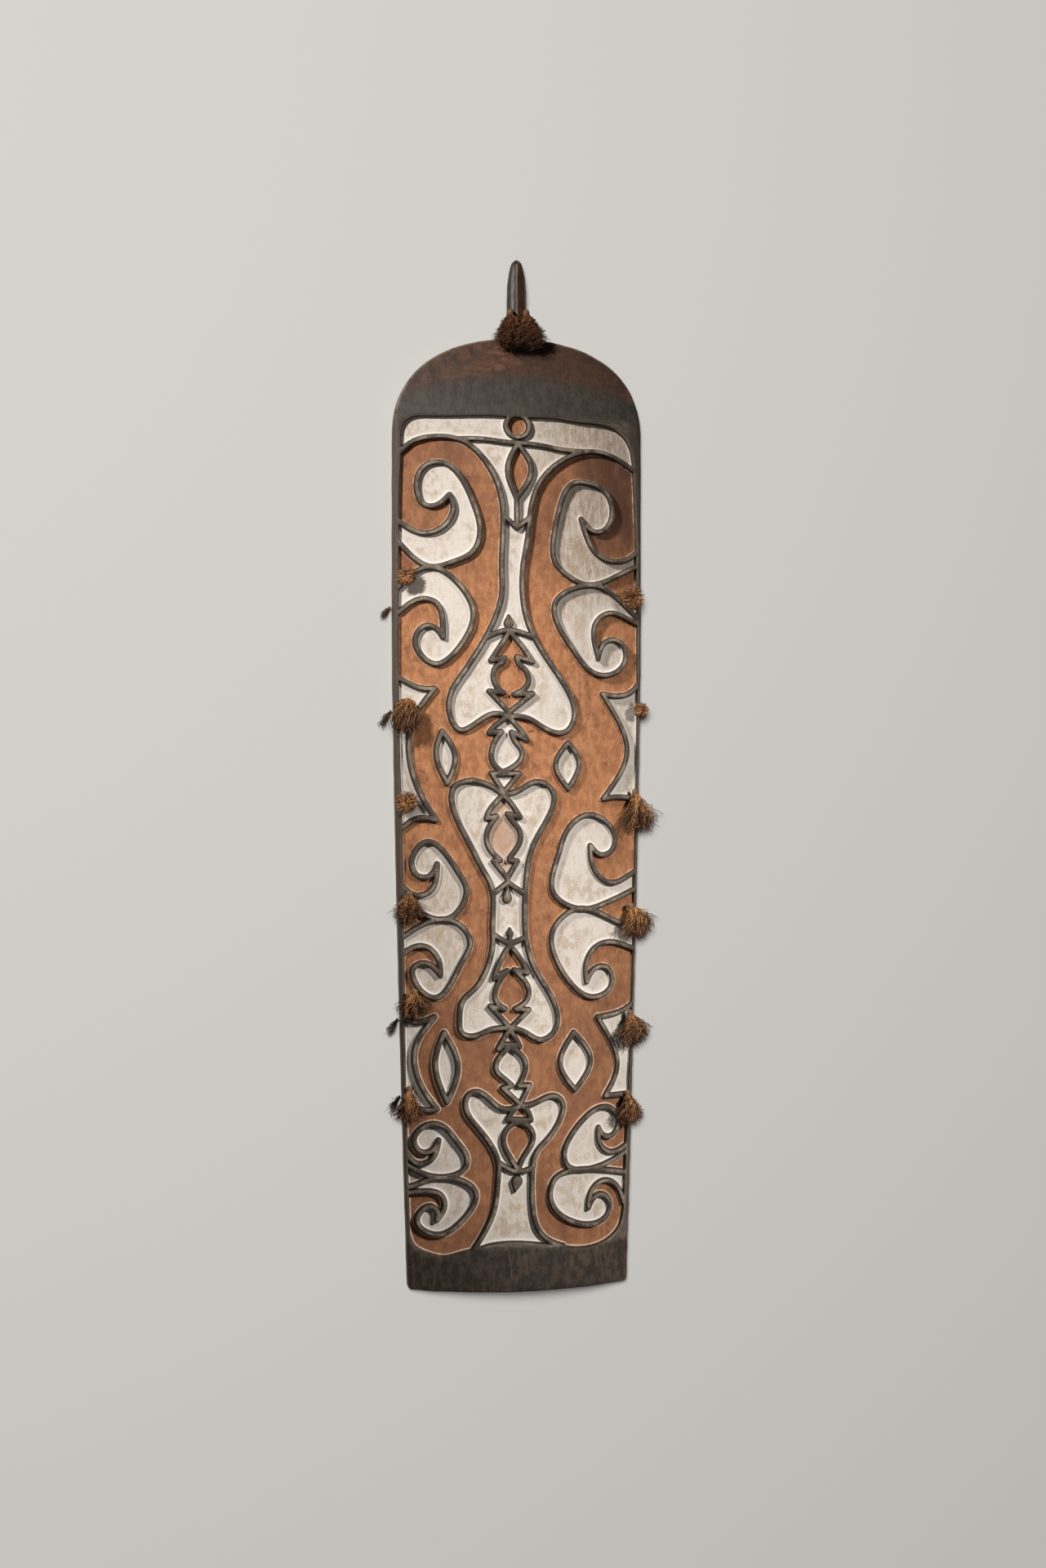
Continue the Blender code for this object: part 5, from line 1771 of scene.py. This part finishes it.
class FibreTree(NodeGraph):
    """The node tree that sprays strands from a bound head.

    The head starts at the origin and the strands run along +Y, fan out across X and lie over the plane
    Z = 0.
    """

    def __init__(self, fibre: Material, binding: Material) -> None:
        """Builds the tree.

        Args:
            fibre: The finish of the strands.
            binding: The finish of the bound head.
        """
        super().__init__(bpy.data.node_groups.new("fibre_spray", "GeometryNodeTree"))
        self.fibre = fibre
        self.sockets: dict[str, str] = {}
        for field, kind in Spray.__annotations__.items():
            socket_type = "NodeSocketInt" if kind == "int" else "NodeSocketFloat"
            socket = self.tree.interface.new_socket(field, in_out="INPUT", socket_type=socket_type)
            self.sockets[field] = socket.identifier
        self.tree.interface.new_socket("Geometry", in_out="OUTPUT", socket_type="NodeSocketGeometry")
        self.given = {given.name: Number(self, given) for given in self.add("NodeGroupInput").outputs}
        whole = self._joined(self._strands(), self._head(binding))
        self.add("NodeGroupOutput", {0: self.out("GeometryNodeRealizeInstances", {0: whole})})

    def _joined(self, first: Socket, second: Socket) -> Socket:
        """Puts two geometries together."""
        node = self.add("GeometryNodeJoinGeometry", {0: first})
        self.tree.links.new(second, node.inputs[0])
        return node.outputs[0]

    def _wound(self, path: Socket, sides: int, radius: Value, **inputs: Value) -> Socket:
        """Gives curves a round section, scaled along them if a scale is given."""
        profile = self.out("GeometryNodeCurvePrimitiveCircle", {"Resolution": sides, "Radius": radius})
        return self.out("GeometryNodeCurveToMesh", {"Curve": path, "Profile Curve": profile,
                                                    "Fill Caps": True, **inputs})

    def _random(self, offset: int, owner: Number) -> Socket:
        """Gives three random numbers from 0 to 1, the same ones to all that share an owner."""
        return self.out("FunctionNodeRandomValue", {"ID": owner, "Seed": self.given["seed"] + float(offset)},
                        data_type="FLOAT_VECTOR")

    def _nature(self, offset: int) -> Socket:
        """Gives each strand three random numbers that are much like those of the rest of its lock."""
        index, loose = self.number("GeometryNodeInputIndex"), self.given["loose"]
        lock = self.math("FLOOR", index / self.given["lock"])
        return self.vector("ADD", self.scaled(self._random(offset, lock), 1.0 - loose),
                           self.scaled(self._random(offset + 50, index), loose))

    def _kept(self, geometry: Socket, name: str, value: Number | Socket, kind: str = "FLOAT") -> Socket:
        """Stores a value under a name on every point."""
        inputs = {"Geometry": geometry, "Name": name, "Value": value}
        return self.out("GeometryNodeStoreNamedAttribute", inputs, data_type=kind, domain="POINT")

    def _stored(self, name: str, kind: str) -> Socket:
        """Reads a stored value."""
        return self.out("GeometryNodeInputNamedAttribute", {"Name": name}, data_type=kind)

    def _strands(self) -> Socket:
        """Sprays the strands."""
        points = self.out("GeometryNodePoints", {"Count": self.given["strands"]})
        points = self._kept(points, "spread", self._nature(0), "FLOAT_VECTOR")
        points = self._kept(points, "nature", self._nature(1), "FLOAT_VECTOR")
        own = self.parts(self._random(90, self.number("GeometryNodeInputIndex")))[0]
        points = self._kept(points, "strand_tone", own)
        line = self.out("GeometryNodeCurvePrimitiveLine", {"End": (0.0, 1.0, 0.0)})
        line = self.out("GeometryNodeResampleCurve", {"Curve": line, "Count": self.given["samples"]})
        bunch = self.out("GeometryNodeInstanceOnPoints", {"Points": points, "Instance": line})
        bunch = self.out("GeometryNodeRealizeInstances", {0: bunch})
        along = self.number("GeometryNodeSplineParameter", output="Factor")
        spread = self.parts(self._stored("spread", "FLOAT_VECTOR"))
        nature = self.parts(self._stored("nature", "FLOAT_VECTOR"))
        bunch = self._kept(bunch, "strand_along", along)
        # How high each strand arches, which the fibre finish turns into painted shade.
        bunch = self._kept(bunch, "strand_height_shade", spread[1])
        bunch = self.out("GeometryNodeSetPosition", {"Geometry": bunch,
                                                     "Position": self._path(along, spread, nature)})
        bulk = self.math("FRACT", Number(self, self._stored("strand_tone", "FLOAT")) * 7.0) * 0.75 + 0.45
        thin = self.given["thickness"] * (along * -0.55 + 1.05) * bulk
        mesh = self._wound(bunch, 3, 1.0, Scale=thin)
        return self.out("GeometryNodeSetMaterial", {"Geometry": mesh, "Material": self.fibre})

    def _path(self, along: Number, spread: Sequence[Number], nature: Sequence[Number]) -> Socket:
        """Works out where each point of a strand lies.

        Args:
            along: How far along the strand the point is, from 0 to 1.
            spread: Where the strand leaves across the head, how high it arches and where its curl starts.
            nature: How long the strand is (the first number) and how far it strays (the third).

        Returns:
            The point's place.
        """
        aside, lifted, phase = spread
        reach, _, wild = nature
        given = self.given
        across = aside * 2.0 - 1.0
        turn = given["fan"] * across * (wild * 0.6 + 0.7)
        upward = turn.cos() * -0.5 + 0.5
        length = given["length"] * (reach * 0.36 + 0.64) * (1.0 - upward * given["droop"])
        gone = along * length
        opening = along * 0.6 + 0.4 + given["cap"] * (along * -1.4 + 1.4)
        hanging = 1.0 - given["cap"] * (along * -0.7 + 0.7)
        arch = along * (1.6 - along)
        base = self.xyz(across * given["head_width"] * 0.36 + gone * turn.sin() * opening,
                        given["head_length"] * given["root"] + gone * turn.cos() * hanging,
                        given["head_width"] * (lifted * 0.5 + given["crown"]) + given["lift"] * arch * lifted)
        spin = phase * (4 * math.pi) + along * given["turns"] * (wild * 3.0 + 4.8)
        curl = given["curl"] * self.math("MINIMUM", along * 3.0, 1.0) * (wild * 0.7 + 0.65)
        swirl = self.xyz(curl * spin.sin(), curl * 0.6 * (spin * 0.7).sin(), curl * spin.cos())
        strand = self.xyz(aside * 40.0, along * 2.2, phase * 40.0)
        stray = self.out("ShaderNodeTexNoise", {"Vector": strand, "Scale": 1.0, "Detail": 1.5}, "Color")
        stray = self.scaled(self.vector("SUBTRACT", stray, (0.5, 0.5, 0.5)), length * along * given["stray"])
        x, y, z = self.parts(self.vector("ADD", self.vector("ADD", base, swirl), stray))
        return self.xyz(x, y, self.math("MAXIMUM", z, lifted * 0.0012 + 0.0005))

    def _head(self, binding: Material) -> Socket:
        """Builds the bound head: a rounded core with cord wound round it.

        Args:
            binding: The finish of the cord.

        Returns:
            The head's shape.
        """
        length = self.given["head_length"]
        half_width = self.given["head_width"] * 0.5
        core = self.out("GeometryNodeMeshUVSphere", {"Segments": 14, "Rings": 8, "Radius": 1.0})
        size = self.xyz(half_width, length * 0.5, half_width * 0.85)
        core = self.out("GeometryNodeTransform", {"Geometry": core, "Scale": size})
        coil = self.out("GeometryNodeCurveSpiral", {
            "Resolution": 14, "Rotations": 5.0, "Start Radius": half_width * 0.86,
            "End Radius": half_width * 0.80, "Height": length * 0.42})
        coil = self.out("GeometryNodeTransform", {
            "Geometry": self._wound(coil, 5, length * 0.055), "Rotation": (-math.pi / 2, 0.0, 0.0),
            "Translation": self.xyz(y=length * 0.06)})
        head = self.out("GeometryNodeTransform", {
            "Geometry": self._joined(core, coil),
            "Translation": self.xyz(y=length * 0.5, z=half_width * 0.95)})
        return self.out("GeometryNodeSetMaterial", {"Geometry": head, "Material": binding})

    def bake(self, name: str, spray: Spray, place: Matrix) -> Object:
        """Makes a mesh of one spray.

        Args:
            name: The new object's name.
            spray: How the fibre spreads.
            place: Where the spray's own frame lies on the board.

        Returns:
            The object, at the origin, with its mesh in place.
        """
        holder = linked(name, bpy.data.meshes.new(name + "_seed"))
        modifier = holder.modifiers.new("spray", "NODES")
        modifier.node_group = self.tree
        for field, identifier in self.sockets.items():
            modifier[identifier] = getattr(spray, field)
        baked = evaluated_mesh(holder)
        baked.transform(place)
        for slot in reversed(range(len(baked.materials))):
            if baked.materials[slot] is None:
                baked.materials.pop(index=slot)
        take_mesh(holder, baked, name)
        return holder


def tube(name: str, path: Sequence[Vector], radius: float, sides: int, steps: int) -> Object:
    """Makes a round cord along a smooth path.

    Args:
        name: The new object's name.
        path: Places that the cord goes through.
        radius: Its radius.
        sides: Its number of sides.
        steps: How many pieces each span of the path is cut into.

    Returns:
        The cord.
    """
    knots = np.array([tuple(p) for p in path])
    share = np.arange(len(knots))
    fine = np.linspace(0, len(knots) - 1, steps * (len(knots) - 1) + 1)
    spine = np.column_stack([np.interp(fine, share, knots[:, axis]) for axis in range(3)])
    for _ in range(2):
        spine[1:-1] = (spine[:-2] + 2 * spine[1:-1] + spine[2:]) / 4
    way = directions(spine)
    rings = []
    side = np.cross(way[0], (0.31, 0.83, 0.46))
    for place, onward in zip(spine, way):
        side = side - onward * (side @ onward)
        side /= np.linalg.norm(side)
        other = np.cross(onward, side)
        rings.append([place + radius * (math.cos(t) * side + math.sin(t) * other) for t in around(sides)])
    return swept(name, np.array(rings))


def joined(target: Object, others: Iterable[Object], finish: int) -> Object:
    """Adds other objects' meshes to one, as loose shells.

    Args:
        target: The object that is kept.
        others: The objects that join it.
        finish: Which of its finishes they take.

    Returns:
        The object that was kept.
    """
    mesh = bmesh.new()
    mesh.from_mesh(target.data)
    for other in others:
        before = len(mesh.faces)
        mesh.from_mesh(other.data)
        mesh.faces.ensure_lookup_table()
        for face in mesh.faces[before:]:
            face.material_index = finish
        bpy.data.objects.remove(other)
    mesh.to_mesh(target.data)
    mesh.free()
    return target


@dataclass(frozen=True)
class TasselShape:
    """A kind of tassel: its spray, its head's share of its length, and how much wider its fibre sets out."""

    spray: Spray
    head_share: float
    widened: float


TASSEL_SHAPES = {
    Tie.KNOB: TasselShape(Spray(340, 0.0130, root=0.80, crown=0.22, lift=0.020, curl=0.0022, turns=4.0,
                                cap=0.25), 0.17, 0.26),
    Tie.NECK: TasselShape(Spray(340, 0.0110, root=0.70, crown=0.25, lift=0.019, curl=0.0020, turns=3.6),
                          0.15, 0.14),
    Tie.MOP: TasselShape(Spray(430, 0.0130, root=0.20, crown=0.75, lift=0.034, curl=0.0026, turns=3.4,
                               droop=0.20, cap=1.0), 0.16, -0.17),
    Tie.TUFT: TasselShape(Spray(400, 0.0075, root=1.75, crown=0.70, lift=0.020, curl=0.0022, turns=2.6,
                                samples=14, lock=2, droop=0.12), 0.24, 2.30),
}
EDGE_SPRAY = Spray(54, 0.005, root=0.5, crown=0.15, lift=0.012, curl=0.0022, turns=1.8, lock=3, samples=16,
                   thickness=0.00042, stray=0.9, fan=0.85, head_length=0.006)
SPUR_SPRAY = Spray(430, 0.0115, root=0.66, crown=0.20, lift=0.026, curl=0.0038, turns=7.5, lock=4, samples=27,
                   thickness=0.00054, stray=0.55, cap=0.30, length=0.069, fan=0.54, head_length=0.0150)


class TasselMaker:
    """Makes the tassels, the edge tufts and the two bundles at the spur."""

    lift = 0.0012
    cord_radius = 0.0008
    floor_clearance = 0.003
    bundle_y = 0.842
    bundle_aside = 0.0140
    bundle_above = 0.0150

    def __init__(self, plank: Plank, holes: CordHoles) -> None:
        """Makes the fibre and its finishes.

        Args:
            plank: The board that the tassels hang on, before it is carved.
            holes: Where the cords go through.
        """
        self.plank = plank
        self.holes = holes
        binding = BindingFinish().material()
        self.trees = {fibre: FibreTree(fibre.value.material(), binding) for fibre in Fibre}

    @staticmethod
    def frame(head: Vector, along: Vector, up: Vector) -> Matrix:
        """Lays a spray's own frame at a head, with +Y along the tassel and +Z out of the board."""
        return Matrix.Translation(head) @ Matrix((along.cross(up), along, up)).transposed().to_4x4()

    def front(self, tassel: Tassel, seed: int) -> Object:
        """Makes a tassel of the face, with its cord through the board and the knot behind.

        Args:
            tassel: The tassel.
            seed: What its random numbers start from.

        Returns:
            The tassel, bound and tied.
        """
        x, y = tassel.head[0] * MM, tassel.head[1] * MM
        lean = math.radians(tassel.lean_degrees)
        up = self.plank.outward(x, y)
        down = Vector((math.sin(lean), -math.cos(lean), 0))
        along = (down - up * down.dot(up)).normalized()
        head = Vector((x, y, self.plank.face_z(x, y))) + up * self.lift
        length = tassel.length * MM
        shape = TASSEL_SHAPES[tassel.tie]
        head_length = shape.head_share * length
        spray = replace(shape.spray, length=length - shape.spray.root * head_length, head_length=head_length,
                        fan=1.7 * math.atan(tassel.spread / 2 / tassel.length) + shape.widened, seed=seed)
        tree = self.trees[Fibre.GOLDEN if tassel.tie is Tie.TUFT else Fibre.PALM]
        made = tree.bake("fibre_tassel_" + tassel.name, spray, self.frame(head, along, up))
        cord = self._cord(tassel, head + along * head_length * 0.5 + up * 0.003)
        return joined(made, cord, finish=list(made.data.materials).index(tree.fibre))

    def _cord(self, tassel: Tassel, eye: Vector) -> list[Object]:
        """Makes the cord that ties a tassel on.

        Args:
            tassel: The tassel.
            eye: Where the cord leaves its bound head.

        Returns:
            The cord through the hole, and the knot behind the board.
        """
        mouth, back, way = self.holes.way(tassel)
        edge = self.plank.half_width_at(back.y) - self.plank.edge_land
        hollow = Vector((2 * self.plank.crown(back.y) * back.x / edge ** 2, 0, 1)).normalized()
        radius = self.holes.knot_radius
        knot = back + way * ((radius + 0.0006) / -way.dot(hollow))
        loop = [knot + Vector((math.sin(t) + 2 * math.sin(2 * t), math.cos(t) - 2 * math.cos(2 * t),
                               -math.sin(3 * t))) * (radius - self.cord_radius) / 3
                for t in around(24)]
        return [tube("cord", [eye, mouth, knot], self.cord_radius, 8, 6),
                tube("knot", loop, self.cord_radius, 7, 3)]

    def edge(self, number: int, y: float, length: float, seed: int) -> Object:
        """Makes a tuft pegged into the left side face.

        Args:
            number: Its number from the top.
            y: Its place along the board, in millimetres.
            length: The length of its fibre, in millimetres.
            seed: What its random numbers start from.

        Returns:
            The tuft and its peg.
        """
        root = self.holes.socket(y * MM)
        along = Vector((-0.42, -1, 0)).normalized()
        up = Vector((-1, 0.42, 0)).normalized()
        made = self.trees[Fibre.WEATHERED].bake(
            f"fibre_tuft_{number}", replace(EDGE_SPRAY, length=length * MM, seed=seed),
            self.frame(root + Vector((-0.0010, 0.005, 0)), along, up))
        self._clear_of_floor(made)
        peg = [root + Vector((self.holes.socket_depth - 0.001, 0, 0)), root + Vector((-0.004, 0.002, 0))]
        return joined(made, [tube("peg", peg, self.cord_radius, 8, 4)], finish=0)

    def _clear_of_floor(self, piece: Object) -> None:
        """Bends fibre that would reach the floor, so that it lies just over it.

        Args:
            piece: The tuft.
        """
        for vertex in piece.data.vertices:
            height = vertex.co.z / self.floor_clearance
            if height < 1:
                vertex.co.z = self.floor_clearance * math.exp(height - 1)

    def bundle(self, side: int, spur: Spur, seed: int) -> Object:
        """Makes the curly bundle on one side of the spur.

        Args:
            side: -1 for its left side, 1 for its right.
            spur: The spur.
            seed: What its random numbers start from.

        Returns:
            The bundle.
        """
        head = Vector((spur.x + side * self.bundle_aside, self.bundle_y, spur.z + self.bundle_above))
        along = Vector((side * 0.07, -1, 0.02)).normalized()
        up = Vector((0, 0.02, 1))
        up = (up - along * up.dot(along)).normalized()
        name = "fibre_bundle_left" if side < 0 else "fibre_bundle_right"
        spray = replace(SPUR_SPRAY, seed=seed)
        return self.trees[Fibre.CURLED].bake(name, spray, self.frame(head, along, up))


# ---------------------------------------------------------------- the studio

@dataclass(frozen=True)
class Lamp:
    """A square soft light, in metres, degrees of spread and watts."""

    name: str
    place: tuple[float, float, float]
    aim: tuple[float, float, float]
    size: float
    spread: float
    power: float
    color: Color
    for_floor: bool


WARM: Color = (1.0, 0.96, 0.915)
# One lamp rakes the shield's upper half from its left and one its lower half from its right. A large one
# washes the floor.
LAMPS = (
    Lamp("upper_left", (-3.10, 2.55, 3.05), (0.11, 0.34, 0.05), 0.45, 22.5, 5.2, WARM, False),
    Lamp("lower_right", (2.20, 1.45, 3.62), (-0.08, -0.64, 0.05), 0.38, 31.0, 6.5, WARM, False),
    Lamp("overhead", (-2.2, 2.0, 9.0), (0.0, 0.0, 0.0), 3.0, 180.0, 760.0, (1.0, 0.98, 0.95), True),
)


@dataclass(frozen=True)
class Studio:
    """The pale floor, the soft lights and the camera that looks down on the shield."""

    look_at: Vector = Vector((0.013, -0.020, 0.0))
    distance: float = 4.0
    lean: float = math.radians(10.5)
    lens: float = 50.0
    film_width: float = 36.0
    floor_half: float = 9.0
    floor_color: Color = (0.74, 0.73, 0.71)
    sky_color: Color = (0.80, 0.82, 0.85)
    sky_strength: float = 0.038

    def build(self) -> None:
        """Sets up the floor, lights, world and camera."""
        pieces = [thing for thing in bpy.context.scene.objects if thing.type == "MESH"]
        floor = self._floor()
        for lamp in LAMPS:
            self._light(lamp, [floor] if lamp.for_floor else pieces)
        world = bpy.data.worlds.new("studio")
        world.use_nodes = True
        background = world.node_tree.nodes["Background"]
        background.inputs["Color"].default_value = (*self.sky_color, 1)
        background.inputs["Strength"].default_value = self.sky_strength
        bpy.context.scene.world = world
        bpy.context.scene.view_settings.view_transform = "Standard"
        self._camera()

    def _floor(self) -> Object:
        """Lays the floor."""
        half = self.floor_half
        corners = np.array([(-half, -half, 0), (half, -half, 0), (half, half, 0), (-half, half, 0)])
        floor = mesh_object("floor", corners, [(0, 1, 2, 3)])
        floor.data.materials.append(Shader("studio_floor").finish(self.floor_color, 0.75))
        return floor

    @staticmethod
    def _light(lamp: Lamp, receivers: list[Object]) -> None:
        """Hangs a square soft light.

        Args:
            lamp: The light.
            receivers: The only things that it lights.
        """
        data = bpy.data.lights.new(lamp.name, "AREA")
        data.size = lamp.size
        data.spread = math.radians(lamp.spread)
        data.energy = lamp.power
        data.color = lamp.color
        made = linked(lamp.name, data)
        made.location = lamp.place
        way = Vector(lamp.aim) - Vector(lamp.place)
        made.rotation_euler = way.to_track_quat("-Z", "Y").to_euler()
        lit = bpy.data.collections.new(lamp.name + "_lights")
        for receiver in receivers:
            lit.objects.link(receiver)
        made.light_linking.receiver_collection = lit

    def _camera(self) -> None:
        """Places the camera a little to the left, level with the shield's length."""
        data = bpy.data.cameras.new("camera")
        data.lens = self.lens
        data.sensor_width = self.film_width
        camera = linked("camera", data)
        sin, cos = math.sin(self.lean), math.cos(self.lean)
        place = self.look_at + Vector((-sin, 0, cos)) * self.distance
        camera.matrix_world = Matrix(((cos, 0, -sin, place.x), (0, 1, 0, place.y),
                                      (sin, 0, cos, place.z), (0, 0, 0, 1)))
        bpy.context.scene.camera = camera


# ---------------------------------------------------------------- the shield

class CarvedShield:
    """Builds every piece of the shield and ties it to the frame."""

    def __init__(self) -> None:
        """Measures the frame and works out the carving."""
        self.plank = Plank.from_frame()
        self.relief = Relief(self.plank, Pattern())
        self.holes = CordHoles(self.plank)

    def build(self) -> None:
        """Builds the pieces, one for each of the frame's nodes."""
        board = CarvedBoard(self.plank, self.relief, self.holes)
        self._place(board.build(CarvedFinish().material(), SpurFinish().material()), "board", "carved_wood")
        maker = TasselMaker(self.plank, self.holes)
        for seed, tassel in enumerate(TASSELS):
            self._place(maker.front(tassel, seed), "tassel_" + tassel.name, "palm_fibre")
        for number, (y, length) in enumerate(EDGE_TUFTS, 1):
            self._place(maker.edge(number, y, length, 40 + number), f"edge_tuft_{number}", "palm_fibre")
        for side, name in ((-1, "spur_bundle_left"), (1, "spur_bundle_right")):
            self._place(maker.bundle(side, board.spur, 60 + side), name, "palm_fibre")

    @staticmethod
    def _place(piece: Object, node: str, slot: str) -> None:
        """Ties a piece to the frame.

        Args:
            piece: The finished piece.
            node: The frame's node whose place it takes.
            slot: Not used.
        """
        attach(piece, "root")
        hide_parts(node)
        triangles = sum(len(face.vertices) - 2 for face in piece.data.polygons)
        LOG.info("%s: %d triangles", piece.name, triangles)


def main() -> None:
    """Builds the whole picture."""
    logging.basicConfig(level=logging.INFO, format="%(message)s")
    for old in list(bpy.data.objects):
        bpy.data.objects.remove(old, do_unlink=True)
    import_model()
    CarvedShield().build()
    Studio().build()


if __name__ == "__main__":
    main()
